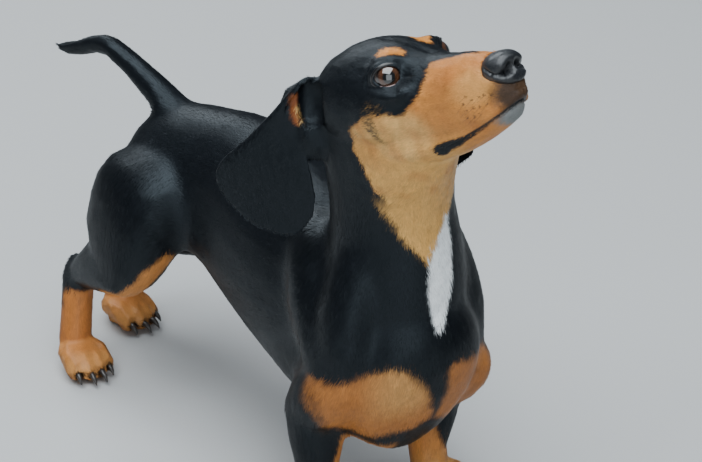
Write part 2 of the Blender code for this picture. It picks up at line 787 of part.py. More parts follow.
def nose_leather():
    """The bare nose, with two comma-shaped nostrils and a groove below."""
    nose = head_loft("nose", NOSE, segments=18, steps=1)
    place = head_matrix()
    for sign in (-1, 1):
        for centre, radii in (NOSTRIL, NOSTRIL_SLIT):
            mirrored = (sign * centre[0], centre[1], centre[2])
            turn = Matrix.Rotation(math.radians(sign * NOSTRIL_TURN), 4, "Z")
            hollow = ellipsoid("nostril", mirrored, radii, matrix=place, turn=turn, detail=2)
            boolean(nose, hollow, "DIFFERENCE")
    return nose


def ear(name, rows, inner_side):
    """A thin leaf from rows of (front edge, middle, rear edge), thickened to one side."""
    fronts, middles, rears = [smooth_rows([row[k] for row in rows], EAR_STEPS) for k in range(3)]
    across = np.linspace(0.0, 1.0, EAR_COLUMNS)
    points, offsets = [], []
    downs = np.gradient(middles, axis=0)
    for front, middle, rear, down in zip(fronts, middles, rears, downs):
        normal = np.cross(rear - front, down)
        normal *= inner_side / np.linalg.norm(normal)
        for t in across:
            curve = front * (1 - t) * (1 - 2 * t) + middle * 4 * t * (1 - t) + rear * t * (2 * t - 1)
            rim = EAR_RIM + (1 - EAR_RIM) * (1 - abs(2 * t - 1) ** 4)
            points.append(curve)
            offsets.append(normal * EAR_THICKNESS * rim)
    outer = np.array(points)
    inner = outer + np.array(offsets)
    count, wide = len(fronts), EAR_COLUMNS
    faces = []
    for i in range(count - 1):
        for j in range(wide - 1):
            a, b = i * wide + j, (i + 1) * wide + j
            faces.append((a, a + 1, b + 1, b))
            faces.append((a + count * wide, b + count * wide, b + 1 + count * wide, a + 1 + count * wide))
    loop = list(range(wide))
    loop += [i * wide + wide - 1 for i in range(1, count)]
    loop += [(count - 1) * wide + j for j in range(wide - 2, -1, -1)]
    loop += [i * wide for i in range(count - 2, 0, -1)]
    for a, b in zip(loop, loop[1:] + loop[:1]):
        faces.append((a, a + count * wide, b + count * wide, b))
    leaf = fused(outward(mesh_object(name, np.vstack([outer, inner]), faces)), EAR_VOXEL, EAR_SMOOTHING)
    return thin_to(leaf, EAR_TRIANGLES)


def room(name, rows, grow):
    return loft(name, rows, segments=20, steps=3, grow=grow / MM, level=True)


def leg_room(kind, side, grow):
    """The room that holds one whole leg and reaches well outside it."""
    sign = -1 if side == "right" else 1
    if kind == "front":
        top_x = SPINE_X + (SHOULDER_SHIFT[side][0] + ELBOW_SHIFT[side][0]) / 2
        foot_x, foot_y = FRONT_FEET[side]
        table, (foot_out, foot_table_y) = FRONT_ROOM, FRONT_ROOM_FOOT
    else:
        top_x = HIND_LEGS[side]["hip"][0] - sign * HIND_ROOM_HIP
        foot_x, foot_y, _ = HIND_LEGS[side]["foot"]
        foot_x += sign * FOOT_ROOM
        table, (foot_out, foot_table_y) = HIND_ROOM, HIND_ROOM_FOOT
    rows = []
    for out, y, z, width, front, back in table:
        share = fade(z, ROOM_FADE)
        x = sign * out + (1 - share) * top_x + share * (foot_x - sign * foot_out)
        rows.append((x, y + share * (foot_y - foot_table_y), z, width, back, front))
    return room(f"{kind}_room_{side}", rows, grow)


def beyond(point, direction, size=CUT_SIZE):
    """A maker of boxes whose one face passes through point and which lie beyond it, along direction."""

    def make(grow):
        back = Vector(point) - Vector(direction).normalized() * (grow / MM)
        return box_region("beyond", plane_at(back, direction), size)

    return make


def part_off(body, make_room, name):
    """Cuts what body has inside a room away as a node of its own, with a thin gap between the two."""
    piece = copy_of(body, name)
    boolean(piece, make_room(0.0), "INTERSECT")
    boolean(body, make_room(GAP), "DIFFERENCE")
    return piece


def add_claws(paw, kind, side):
    for claw in claw_forms(kind, side):
        boolean(paw, claw, "UNION")
    return paw


def part_leg(body, kind, side):
    """One leg, taken off the body and divided at its joints."""
    leg = part_off(body, lambda grow: leg_room(kind, side, grow), "leg")
    nodes = []
    if kind == "front":
        paw = part_off(leg, beyond((0, 0, WRIST_CUT), (0, 0, -1), LEVEL_CUT_SIZE), f"front_paw_{side}")
        forearm = part_off(leg, beyond((0, 0, ELBOW_CUT), (0, 0, -1), LEVEL_CUT_SIZE), f"forearm_{side}")
        leg.name = f"shoulder_{side}"
        nodes = [leg, forearm, paw]
    else:
        knee = Vector(HIND_LEGS[side]["knee"]) + Vector(KNEE_CUT_OFFSET)
        paw = part_off(leg, beyond((0, 0, HIND_PAW_CUT), (0, 0, -1), LEVEL_CUT_SIZE), f"hind_paw_{side}")
        hock = part_off(leg, beyond((0, 0, HOCK_CUT), (0, 0, -1), LEVEL_CUT_SIZE), f"hock_{side}")
        shank = part_off(leg, beyond(knee, KNEE_CUT_DIRECTION), f"shank_{side}")
        leg.name = f"thigh_{side}"
        nodes = [leg, shank, hock, paw]
    add_claws(paw, kind, side)
    return nodes


def finish(nodes):
    """Names, materials, smooth shading, and the origin under the middle of the animal at the floor."""
    corners = np.array([v.co for node in nodes for v in node.data.vertices])
    low, high = corners.min(axis=0), corners.max(axis=0)
    shift = Vector((-(low[0] + high[0]) / 2, -(low[1] + high[1]) / 2, -low[2]))
    for node in nodes:
        node.data.name = node.name
        node.data.transform(Matrix.Translation(shift))
        colour, roughness = LEATHER, 0.5
        if node.name.startswith("eye"):
            colour, roughness = IRIS, 0.1
        elif node.name.startswith(TAN_NODES):
            colour = TAN
        elif node.name != "nose":
            colour = BLACK
        node.data.materials.clear()
        node.data.materials.append(material(node.name + "_skin", colour, roughness))
        for face in node.data.polygons:
            face.use_smooth = True


def main():
    clear_scene()
    body = flesh()
    boolean(body, box_region("floor", Matrix.Rotation(math.pi, 4, "X"), FLOOR_SIZE), "DIFFERENCE")
    nose = nose_leather()
    boolean(body, mouth_groove(body), "DIFFERENCE")
    nodes = [cut_eye(body, side, sign) for side, sign in (("right", -1), ("left", 1))]
    boolean(body, swollen(nose, "nose_room"), "DIFFERENCE")
    nodes.append(nose)
    for side, rows, inner in (("right", EAR_RIGHT, -1.0), ("left", EAR_LEFT, 1.0)):
        made = ear("ear_" + side, rows, inner)
        boolean(body, ellipsoid("ear_cup", EAR_CUP[side], EAR_CUP_RADII), "DIFFERENCE")
        boolean(body, swollen(made, "ear_room"), "DIFFERENCE")
        nodes.append(made)
    nodes.append(part_off(body, beyond(*HEAD_CUT), "head"))
    nodes.append(part_off(body, beyond(*NECK_CUT), "neck"))
    nodes.append(part_off(body, beyond(*TAIL_CUT), "tail"))
    for kind, side in LEGS:
        nodes += part_leg(body, kind, side)
    body.name = "torso"
    nodes.append(body)
    finish(nodes)


main()
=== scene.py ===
from contextlib import contextmanager
from math import cos, pi, radians, sin

import bmesh
import bpy
import numpy as np
from mathutils import Matrix, Vector
from mathutils.bvhtree import BVHTree


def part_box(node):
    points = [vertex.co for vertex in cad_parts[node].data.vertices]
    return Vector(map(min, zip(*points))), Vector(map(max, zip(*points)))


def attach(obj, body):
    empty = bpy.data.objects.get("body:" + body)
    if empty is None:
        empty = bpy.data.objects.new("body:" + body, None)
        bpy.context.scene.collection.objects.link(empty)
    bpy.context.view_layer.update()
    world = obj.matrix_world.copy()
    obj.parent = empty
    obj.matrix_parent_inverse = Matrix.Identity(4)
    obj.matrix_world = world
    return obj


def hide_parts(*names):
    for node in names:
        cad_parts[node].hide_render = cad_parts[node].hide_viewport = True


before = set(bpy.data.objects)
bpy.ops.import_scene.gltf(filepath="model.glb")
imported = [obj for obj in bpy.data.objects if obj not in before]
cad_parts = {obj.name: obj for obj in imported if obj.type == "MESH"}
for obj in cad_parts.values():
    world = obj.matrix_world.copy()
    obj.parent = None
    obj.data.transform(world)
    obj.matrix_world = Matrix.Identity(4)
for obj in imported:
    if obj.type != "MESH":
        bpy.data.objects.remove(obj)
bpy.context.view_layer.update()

MM = 0.001
RNG = np.random.default_rng(7)

# The animal's own frame is in millimetres: x to its left, y to its back, z up from the floor.
# The head's frame starts between the eyes and turns with the head. Angles are in degrees.
HEAD_ORIGIN = (-10.8, -136.5, 322.8)
HEAD_YAW = 7.4
HEAD_PITCH = 28.5
HEAD_ROLL = 2.5
EYE_CENTRE = (17.8, 6.2, -0.5)
EYE_RADIUS = 10.0
EYE_TURN = 38.0
NOSE_TIP = (0, -68, -20)

# Paws: the middle of each, the turn of its toes, its width, and how far ahead of the middle they are set.
FEET = {"front_right": (-37, -80), "front_left": (39, -93), "hind_right": (-56, 177), "hind_left": (4, 216)}
TOE_YAW = {"front_right": 10, "front_left": -10, "hind_right": 4, "hind_left": -14}
PAW_WIDTH = {"front": 1.08, "hind": 0.94}
PAW_AHEAD = {"front": 6, "hind": 8}
# Toes: steps across the paw and share of the reach ahead.
TOES = ((-1.5, 0.80), (-0.5, 1.0), (0.5, 1.0), (1.5, 0.80))
# A claw from root to tip: width of a step across, reach ahead, height, radius.
CLAW = ((8.1, -18.5, 8.3, 2.0), (8.3, -23.5, 8.0, 1.95), (8.5, -27.0, 6.2, 1.5), (8.6, -29.6, 3.0, 0.35))
CLAW_ROOT = (8.2, -23.5, 8.0)
CLAW_ROOM = 0.5

# The nodes grow by SWELL before they are fused, so that no slit stays, and the skin is drawn in by it again.
SWELL = 0.48
SKIN_VOXEL = 0.9 * MM
SKIN_TRIANGLES = 190000
HEAD_SHARE = 0.00003
SKIN_SMOOTHING = 6
BODY_SMOOTHING = 24
TRUNK_SMOOTHING = 120
# Depth of the coat, and how much less it is in places.
COAT_DEPTH = 0.80
THINNER = {"head": 0.35, "feet": 0.3, "ears": 0.35}
THINNEST = 0.25

# The lid opening seen along the eye's axis: half width, upper height, lower height and tilt.
LID_WIDTH = 9.3
LID_UPPER = 6.9
LID_LOWER = 5.7
LID_TILT = 4.0
LID_RADIUS = 11.1
SOCKET_DEPTH = 2.2
# Angles from the eye's axis.
IRIS_ANGLE = 41.0
PUPIL_ANGLE = 20.0
CORNEA_ANGLE = 43.0
CORNEA_HEIGHT = 0.95

MOUTH_LINE = (
    (-79, -30), (-76, -32), (-72, -34.5), (-68, -36.4), (-60, -39), (-48, -42.5), (-32, -46), (-20, -47.5),
    (-14, -48),
)
# Lips: height and width of the line between them, then height, distance from it and width of each roll.
LIP_LINE = (-1.9, 0.85)
UPPER_LIP = (0.75, 2.4, 1.8)
LOWER_LIP = (0.45, -2.2, 1.4)
LIP_CORNER = (0.8, 3.6, 1.6)
PHILTRUM = ((0, -75, -26), (0, -75, -35))
INNER_CORNER = ((17.4, -13, -4.3), (18.4, -12, -4.1), (19.6, -10.6, -4.2), (20.8, -8.8, -4.1))

BLACK = (0.0036, 0.0043, 0.0058)
TAN = (0.55, 0.220, 0.050)
CHEST = (0.42, 0.155, 0.034)
RUST = (0.38, 0.105, 0.022)
GOLD = (0.66, 0.36, 0.10)
BUFF = (0.76, 0.46, 0.16)
BROW = (0.60, 0.225, 0.035)
UMBER = (0.26, 0.10, 0.030)
WHITE = (0.88, 0.90, 0.90)
GREY = (0.20, 0.205, 0.20)
# Dark skin under the nose, mixed with painted shade.
SOOT_AND_SHADE = (0.024, 0.017, 0.012)
SMUDGE = (0.030, 0.022, 0.016)
FOLLICLE = (0.05, 0.03, 0.018)
DARK_SKIN = (0.010, 0.009, 0.009)
DARKEST = 0.003
IRIS = (0.060, 0.021, 0.007)
PUPIL = (0.002, 0.002, 0.002)
EYE_RIM = (0.030, 0.020, 0.016)
EYE_WHITE = (0.30, 0.25, 0.23)


def head_matrix():
    turn = (
        Matrix.Rotation(radians(HEAD_YAW), 4, "Z")
        @ Matrix.Rotation(radians(-HEAD_PITCH), 4, "X")
        @ Matrix.Rotation(radians(-HEAD_ROLL), 4, "Y")
    )
    return Matrix.Translation(Vector(HEAD_ORIGIN) * MM) @ turn


def eye_matrix(sign):
    """The frame of an eyeball: x across the lids, y out of the eye, z up."""
    centre = Matrix.Translation(Vector((sign * EYE_CENTRE[0], EYE_CENTRE[1], EYE_CENTRE[2])) * MM)
    return head_matrix() @ centre @ Matrix.Rotation(radians(180 + sign * EYE_TURN), 4, "Z")


def middle(node):
    low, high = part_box(node)
    return (low + high) / 2


# The step from the animal's own frame to the frame of the model, whose origin is under its middle.
SHIFT = middle("eye_right") - eye_matrix(-1).translation
STEP = np.array(SHIFT)
HEAD_TURN = np.array(head_matrix())[:3, :3]


def to_head(points):
    """Head-frame millimetres of points given in the animal's frame."""
    return (points - np.array(HEAD_ORIGIN)) @ HEAD_TURN


def from_head(points):
    return np.asarray(points, float) @ HEAD_TURN.T + np.array(HEAD_ORIGIN)


def mirrored(path, sign):
    """A path of the head frame on one side of the head, in the animal's frame."""
    return from_head(np.array(path) * np.array((sign, 1, 1)))


def eye_space(p, sign):
    place = np.array(eye_matrix(sign))
    return (p - place[:3, 3] / MM) @ place[:3, :3]


def from_eye(q, sign):
    place = np.array(eye_matrix(sign))
    return q @ place[:3, :3].T + place[:3, 3] / MM


# Numbers

def norms(rows):
    return np.linalg.norm(rows, axis=1)


def nearest(p, places):
    """Distance from each point to the nearer of two places."""
    return np.minimum(*[norms(p - place) for place in places])


def blend(value, low, high):
    """0 below low and 1 above high, with a soft step between."""
    t = np.clip((value - low) / (high - low), 0.0, 1.0)
    return t * t * (3 - 2 * t)


def fall(value, low, high):
    """1 below low and 0 above high, with a soft step between."""
    return 1 - blend(value, low, high)


def hump(value, centre, width):
    """1 at the centre, falling to 0 on both sides."""
    return np.exp(-(((value - centre) / width) ** 2))


def power(value, exponent):
    """A power that keeps the sign."""
    return np.sign(value) * np.abs(value) ** exponent


def ripple(p, size, seed):
    """A smooth pseudo-random wave between about -1 and 1."""
    total = np.zeros(len(p))
    draw = np.random.default_rng(seed)
    for _ in range(5):
        k = draw.normal(size=3)
        k *= 2 * pi / (size * np.linalg.norm(k) * draw.uniform(0.7, 1.4))
        total += np.sin(p @ k + draw.uniform(0, 6.28))
    return total / 3.0


def wander(p, size, seed):
    """Three waves, one for each direction."""
    return np.stack([ripple(p, size, seed + i) for i in range(3)], 1)


def to_line(points, a, b):
    """Distance from each point to the line between two ends."""
    along = b - a
    t = np.clip((points - a) @ along / max(along @ along, 1e-9), 0, 1)
    return norms(points - a - t[:, None] * along)


def path_distance(points, path):
    path = np.asarray(path, float)
    best = np.full(len(points), 1e9)
    for a, b in zip(path[:-1], path[1:]):
        best = np.minimum(best, to_line(points, a, b))
    return best


def outline_distance(points, outline):
    """Signed distance to a closed outline in a plane, positive inside."""
    outline = np.asarray(outline, float)
    inside = np.zeros(len(points), bool)
    for a, b in zip(outline, np.roll(outline, -1, axis=0)):
        crosses = (a[1] > points[:, 1]) != (b[1] > points[:, 1])
        with np.errstate(divide="ignore", invalid="ignore"):
            at = a[0] + (points[:, 1] - a[1]) * (b[0] - a[0]) / (b[1] - a[1])
        inside ^= crosses & (points[:, 0] < at)
    best = path_distance(points, np.vstack([outline, outline[:1]]))
    return np.where(inside, best, -best)


def within(points, outline, soft):
    return blend(outline_distance(points, outline), -soft, soft)


def spot(points, place, low=0.6, high=1.2):
    """1 inside an ellipsoid, given by its centre and radii, falling to 0 outside it."""
    centre, radii = place
    return fall(norms((points - np.array(centre)) / np.array(radii)), low, high)


def smooth_rows(rows, steps):
    """More rows on a smooth curve through the given ones."""
    rows = np.asarray(rows, float)
    padded = np.vstack([2 * rows[0] - rows[1], rows, 2 * rows[-1] - rows[-2]])
    made = []
    for i in range(1, len(padded) - 2):
        a, b, c, d = padded[i - 1: i + 3]
        for t in np.arange(steps) / steps:
            bend = (2 * a - 5 * b + 4 * c - d) * t**2 + (3 * b - a - 3 * c + d) * t**3
            made.append(0.5 * (2 * b + (c - a) * t + bend))
    made.append(rows[-1])
    return np.array(made)


# Meshes

def linked(name, data):
    obj = bpy.data.objects.new(name, data)
    bpy.context.scene.collection.objects.link(obj)
    return obj


def placed(points):
    """Model coordinates of points in the animal's millimetres."""
    return np.asarray(points, float) * MM + STEP


def new_object(name, points, faces):
    mesh = bpy.data.meshes.new(name)
    mesh.from_pydata(placed(points), [], faces)
    mesh.shade_smooth()
    return linked(name, mesh)


@contextmanager
def editing(mesh):
    """A mesh open for editing, which is written back afterwards."""
    form = bmesh.new()
    form.from_mesh(mesh)
    yield form
    form.to_mesh(mesh)
    form.free()


def numbers(items, key, width, kind=np.float32):
    """One value of each item, in rows."""
    out = np.empty(len(items) * width, kind)
    items.foreach_get(key, out)
    return out.reshape(-1, width)


def read(obj):
    """Vertex places in the animal's millimetres."""
    return (numbers(obj.data.vertices, "co", 3).astype(float) - STEP) / MM


def write(obj, points):
    obj.data.vertices.foreach_set("co", placed(points).astype(np.float32).ravel())
    obj.data.update()


def normals(obj):
    return numbers(obj.data.vertices, "normal", 3).astype(float)


def modified(obj, kind, **settings):
    """The object with one modifier applied."""
    change = obj.modifiers.new(kind, kind)
    for key, value in settings.items():
        setattr(change, key, value)
    graph = bpy.context.evaluated_depsgraph_get()
    mesh = bpy.data.meshes.new_from_object(obj.evaluated_get(graph))
    obj.modifiers.clear()
    obj.data = mesh
    return obj


def smoothed(obj, iterations, group=""):
    return modified(obj, "SMOOTH", factor=0.5, iterations=iterations, vertex_group=group)


def facing_out(obj):
    with editing(obj.data) as form:
        bmesh.ops.recalc_face_normals(form, faces=form.faces)
        if form.calc_volume(signed=True) < 0:
            bmesh.ops.reverse_faces(form, faces=form.faces)
    return obj


def ring_faces(rings, segments, ends=True):
    """Faces between rings of points, and over the two ends."""
    faces = []
    for i in range(rings - 1):
        for k in range(segments):
            a, b = i * segments + k, i * segments + (k + 1) % segments
            faces.append((a, b, b + segments, a + segments))
    if ends:
        faces.append(tuple(range(segments))[::-1])
        faces.append(tuple(range((rings - 1) * segments, rings * segments)))
    return faces


def tube(rows, segments=12, steps=3, grow=0.0):
    """Points and faces of a closed tube along rows of (x, y, z, radius)."""
    rows = smooth_rows(rows, steps)
    centres = rows[:, :3]
    travel = np.gradient(centres, axis=0)
    travel /= norms(travel)[:, None]
    helper = np.array((0.3, 0.2, 0.93))
    points = []
    for i, centre in enumerate(centres):
        across = np.cross(travel[i], helper)
        across /= np.linalg.norm(across)
        up = np.cross(across, travel[i])
        for k in range(segments):
            angle = 2 * pi * k / segments
            radius = max(rows[i, 3], 0.05) + grow
            points.append(centre + radius * (across * cos(angle) + up * sin(angle)))
    return points, ring_faces(len(centres), segments)


def gathered(parts):
    """Several (points, faces) as one."""
    points, faces = [], []
    for some, polys in parts:
        faces += [tuple(k + len(points) for k in poly) for poly in polys]
        points += list(some)
    return points, faces


def press(p, n, path, width, height):
    """Raises or sinks the skin along a path."""
    return p + n * (height * hump(path_distance(p, path), 0, width))[:, None]


# Claws

def toe_point(paw, toe, place):
    """A place at one toe of a paw, from a row of CLAW."""
    kind = paw.split("_")[0]
    turn = radians(-TOE_YAW[paw])
    u, v = toe[0] * place[0] * PAW_WIDTH[kind], place[1] * toe[1]
    x, y = FEET[paw]
    y -= PAW_AHEAD[kind]
    return x + u * cos(turn) - v * sin(turn), y + u * sin(turn) + v * cos(turn), place[2]


def claw_tubes(paw, grow=0.0):
    rows = [[(*toe_point(paw, toe, row), row[3]) for row in CLAW] for toe in TOES]
    return [tube(claw, segments=12, steps=4, grow=grow) for claw in rows]


# The skin

EYES = {"eye_right": -1, "eye_left": 1}
FLESH = [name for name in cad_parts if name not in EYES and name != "nose"]


def clean_copy(node):
    """A copy of a node's mesh with its split corners joined again."""
    obj = linked(node + "_flesh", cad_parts[node].data.copy())
    with editing(obj.data) as form:
        bmesh.ops.remove_doubles(form, verts=form.verts, dist=1e-6)
        bmesh.ops.recalc_face_normals(form, faces=form.faces)
    return obj


def without_claws(obj, paw):
    for points, faces in claw_tubes(paw, grow=CLAW_ROOM):
        cutter = facing_out(new_object("claw_cut", points, faces))
        modified(obj, "BOOLEAN", operation="DIFFERENCE", solver="EXACT", object=cutter)
        bpy.data.objects.remove(cutter)


def ball(centre, radius):
    mesh = bpy.data.meshes.new("ball")
    with editing(mesh) as form:
        bmesh.ops.create_icosphere(form, subdivisions=4, radius=radius)
        bmesh.ops.translate(form, vec=centre, verts=form.verts)
    return mesh


def headness(p):
    """1 on the head and 0 on the neck and body."""
    h = to_head(p)
    return blend(h[:, 2], -75, -55) * blend(-h[:, 1], -95, -70)


def footness(p):
    return fall(p[:, 2], 22, 40)


def tree_of(obj):
    return BVHTree.FromObject(obj, bpy.context.evaluated_depsgraph_get())


EAR_TREES = {node: tree_of(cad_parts[node]) for node in ("ear_right", "ear_left")}


def by_node(p, node):
    """Which places are within 3 mm of a node's box."""
    low, high = [np.array(corner - SHIFT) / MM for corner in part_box(node)]
    return np.all((p > low - 3) & (p < high + 3), axis=1)


def earness(p):
    """1 on the leaves of the ears."""
    found = np.zeros(len(p))
    for node, tree in EAR_TREES.items():
        for i in np.nonzero(by_node(p, node))[0]:
            if tree.find_nearest(Vector(p[i] * MM) + SHIFT, 1.6 * MM)[0] is not None:
                found[i] = 1.0
    return found * (1 - 0.8 * blend(p[:, 2], 285, 300))


def ear_rim(p, n):
    """1 at the edges of the ears and 0 on their broad sides."""
    rim = np.zeros(len(p))
    for node in EAR_TREES:
        ear = numbers(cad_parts[node].data.vertices, "co", 3).astype(float)
        facing = np.linalg.svd(ear - ear.mean(axis=0), full_matrices=False)[2][2]
        near = by_node(p, node)
        rim[near] = fall(np.abs(n[near] @ facing), 0.35, 0.75)
    return rim * earness(p)


def add_group(obj, name, weight):
    """A vertex group from weights rounded to tenths."""
    group = obj.vertex_groups.new(name=name)
    steps = np.round(weight * 10).astype(int)
    for step in range(1, 11):
        chosen = np.nonzero(steps == step)[0]
        if len(chosen):
            group.add(chosen.tolist(), step / 10, "REPLACE")


def largest_only(obj):
    """Keeps the one closed surface with the most points."""
    edges = numbers(obj.data.edges, "vertices", 2, np.int32)
    label, before = np.arange(len(obj.data.vertices)), None
    while not np.array_equal(label, before):
        before = label.copy()
        np.minimum.at(label, edges, before[edges].min(axis=1)[:, None])
        label = label[label]
    names, counts = np.unique(label, return_counts=True)
    lost = np.nonzero(label != names[np.argmax(counts)])[0]
    if len(lost):
        with editing(obj.data) as form:
            form.verts.ensure_lookup_table()
            bmesh.ops.delete(form, geom=[form.verts[i] for i in lost], context="VERTS")


def base_skin():
    """The flesh of all nodes as one closed skin, smooth, with no slits between the nodes."""
    mesh = bpy.data.meshes.new("coat_skin")
    with editing(mesh) as form:
        for node in FLESH:
            obj = clean_copy(node)
            if "_paw_" in node:
                without_claws(obj, node.replace("_paw", ""))
            with editing(obj.data) as part:
                part.normal_update()
                for vert in part.verts:
                    vert.co += vert.normal * SWELL * MM
            form.from_mesh(obj.data)
            bpy.data.objects.remove(obj)
        for node in EYES:
            form.from_mesh(ball(middle(node), (EYE_RADIUS + 0.8) * MM))
    skin = modified(linked("coat_skin", mesh), "REMESH", mode="VOXEL", voxel_size=SKIN_VOXEL)
    largest_only(skin)
    smoothed(skin, SKIN_SMOOTHING)
    p = read(skin)
    weight = (1 - headness(p)) * (1 - footness(p)) * (1 - earness(p))
    add_group(skin, "body", weight)
    smoothed(skin, BODY_SMOOTHING, "body")
    p = read(skin)
    weight *= blend(p[:, 2], 78, 108) * blend(-p[:, 1], -150, -132) * blend(-p[:, 2], -262, -240)
    add_group(skin, "trunk", weight)
    smoothed(skin, TRUNK_SMOOTHING, "trunk")
    skin.vertex_groups.clear()
    return skin


def refined(skin):
    """Finer faces round the eyes, the mouth and the nose."""
    p = read(skin)
    h = to_head(p)
    near = nearest(p, [np.array(eye_matrix(sign).translation) / MM for sign in (-1, 1)]) < 17
    near |= (h[:, 1] < -8) & (h[:, 2] < -26) & (h[:, 2] > -56)
    near |= h[:, 1] < -60
    with editing(skin.data) as form:
        edges = [e for e in form.edges if near[e.verts[0].index] and near[e.verts[1].index]]
        bmesh.ops.subdivide_edges(form, edges=edges, cuts=1, use_grid_fill=True)
        bmesh.ops.triangulate(form, faces=[f for f in form.faces if len(f.verts) > 4])


def lid_edge(angle):
    """The rim of the lid opening at an angle, along and above the eye's axis."""
    c, s = np.cos(angle), np.sin(angle)
    height = np.where(s > 0, LID_UPPER, LID_LOWER)
    x, z = LID_WIDTH * power(c, 0.92), height * power(s, 1.15)
    tilt = radians(LID_TILT)
    return x * cos(tilt) - z * sin(tilt), x * sin(tilt) + z * cos(tilt)


def lid_gap(q, sign, corners):
    """Signed distance from the rim of the lid opening, positive inside it."""
    rim = np.stack(lid_edge(np.linspace(0, 2 * pi, corners)), 1)
    return outline_distance(q[:, (0, 2)] * np.array((-sign, 1)), rim)


def open_lids(p):
    """Sinks the skin inside each lid opening behind the eyeball, and rolls the lids round the ball."""
    for sign in (-1, 1):
        q = eye_space(p, sign)
        near = np.nonzero((norms(q) < 24) & (q[:, 1] > 0))[0]
        gap = lid_gap(q[near], sign, 121)
        radius = norms(q[near])
        share = fall(-gap, 0.8, 6.0)
        target = radius * (1 - share) + (LID_RADIUS + 0.10 * np.maximum(-gap, 0)) * share
        inside = blend(gap, -0.15, 0.55)
        target = target * (1 - inside) + (EYE_RADIUS - SOCKET_DEPTH) * inside
        crease = hump(-gap, 3.4, 0.8) * blend(q[near, 2], 0, 3) * 0.55
        crease += hump(-gap, 3.0, 0.9) * blend(-q[near, 2], 0, 3) * 0.35
        target -= crease * (gap < 0)
        q[near] *= (target / radius)[:, None]
        p[near] = from_eye(q[near], sign)
    return p


def on_skin(tree, y, z, sign):
    """Where a ray from the side of the head meets the skin, in the animal's frame."""
    start = Vector(from_head([(sign * 60, y, z)])[0] * MM) + SHIFT
    hit = tree.ray_cast(start, Vector(HEAD_TURN @ np.array((-sign, 0, 0), float)))[0]
    return None if hit is None else (np.array(hit) - STEP) / MM


def mouth_path(tree):
    """The line between the lips, from one corner round the chin to the other."""
    found = []
    for sign in (-1, 1):
        points = [on_skin(tree, y, z, sign) for y, z in smooth_rows(MOUTH_LINE, 3)]
        points = [q for q in points if q is not None]
        found += points[::-1] if sign < 0 else points
    return np.array(found)


# Folds and hollows of the skin in the animal's frame: path, width, height (negative sinks it).
FOLDS = (
    (((-40, -120, 262), (-22, -139, 258), (0, -146, 256)), 2.6, -0.5),
    (((-39, -116, 250), (-24, -134, 244), (-6, -142, 242)), 3.0, -0.35),
    (((-47, -118, 148), (-53, -110, 130), (-57, -100, 112)), 4.0, -0.7),
    (((50, -125, 148), (55, -118, 130), (60, -106, 112)), 4.0, -0.7),
    (((-30, 80, 112), (-42, 78, 132), (-46, 82, 150)), 5.0, -1.0),
    (((30, 82, 112), (40, 80, 132), (45, 84, 150)), 5.0, -1.0),
    (((-54, 150, 80), (-51, 170, 75), (-50, 180, 72)), 3.0, -0.8),
    (((24, 160, 80), (19, 182, 75), (14, 194, 72)), 3.0, -0.8),
    (((-45.5, -80, 297), (-46.5, -81, 289), (-47, -82, 280)), 3.4, -2.8),
    (((13, -83, 298), (14, -84, 290), (15, -85, 281)), 3.4, -2.8),
)
# Folds of the face in the head frame, on both sides: path of (x, y, z), width, height.
FACE_FOLDS = (
    (((19, -13, -44), (22, -4, -41), (25, 6, -38)), 2.0, -0.45),
    (((20, -12, -51), (22, -4, -54), (23, 6, -55)), 2.2, -0.4),
    (((14, -24, -10), (20, -12, -15), (27, 0, -18)), 2.6, -0.35),
    (((6, -10, 9), (9, 0, 14), (16, 10, 15)), 2.0, 0.3),
    (INNER_CORNER, 0.9, -0.8),
    (((0, -14, 4), (0, 0, 11), (0, 16, 17)), 2.4, -0.5),
    (((12, -68, -26), (15, -56, -28), (18, -42, -30)), 3.0, 0.35),
)


def shaped(skin):
    """The skin drawn in by the coat's depth, with lids, lips and folds."""
    mouth = mouth_path(tree_of(skin))
    p, n = read(skin), normals(skin)
    head = headness(p)
    depth = COAT_DEPTH - THINNER["head"] * head - THINNER["feet"] * footness(p) - THINNER["ears"] * earness(p)
    depth = np.clip(depth, THINNEST, 1.0) * blend(norms(to_head(p) - np.array(NOSE_TIP)), 6, 22)
    p -= n * (SWELL + depth)[:, None]
    on = np.nonzero(head > 0.01)[0]
    q, m = p[on], n[on]
    far = path_distance(q, mouth)
    h = to_head(q)
    above = h[:, 2] - np.interp(h[:, 1], *np.transpose(MOUTH_LINE))
    q += m * (LIP_LINE[0] * hump(far, 0, LIP_LINE[1]))[:, None]
    q += m * (UPPER_LIP[0] * hump(above, *UPPER_LIP[1:]) * (far < 7) * (above > 0))[:, None]
    q += m * (LOWER_LIP[0] * hump(above, *LOWER_LIP[1:]) * (far < 6) * (above < 0))[:, None]
    q += m * (LIP_CORNER[0] * hump(nearest(q, (mouth[0], mouth[-1])), *LIP_CORNER[1:]))[:, None]
    q = press(q, m, from_head(PHILTRUM), 0.8, -0.9)
    for path, width, height in FACE_FOLDS:
        for sign in (-1,) if path[0][0] == 0 else (-1, 1):
            q = press(q, m, mirrored(path, sign), width, height)
    p[on] = q
    for path, width, height in FOLDS:
        p = press(p, n, path, width, height)
    write(skin, open_lids(p))
    return mouth


def thin_skin(skin):
    """Fewer triangles, and most of them on the head and the feet."""
    p = read(skin)
    head = headness(p)
    fine = np.clip(head * (to_head(p)[:, 1] < 30) + 0.4 * head + 0.5 * footness(p), 0, 1)
    add_group(skin, "coarse", 1 - 0.5 * fine)
    ratio = SKIN_TRIANGLES / (2 * len(skin.data.polygons))
    modified(skin, "DECIMATE", ratio=ratio, vertex_group="coarse", vertex_group_factor=HEAD_SHARE)
    skin.vertex_groups.clear()
    skin.data.shade_smooth()


# Markings

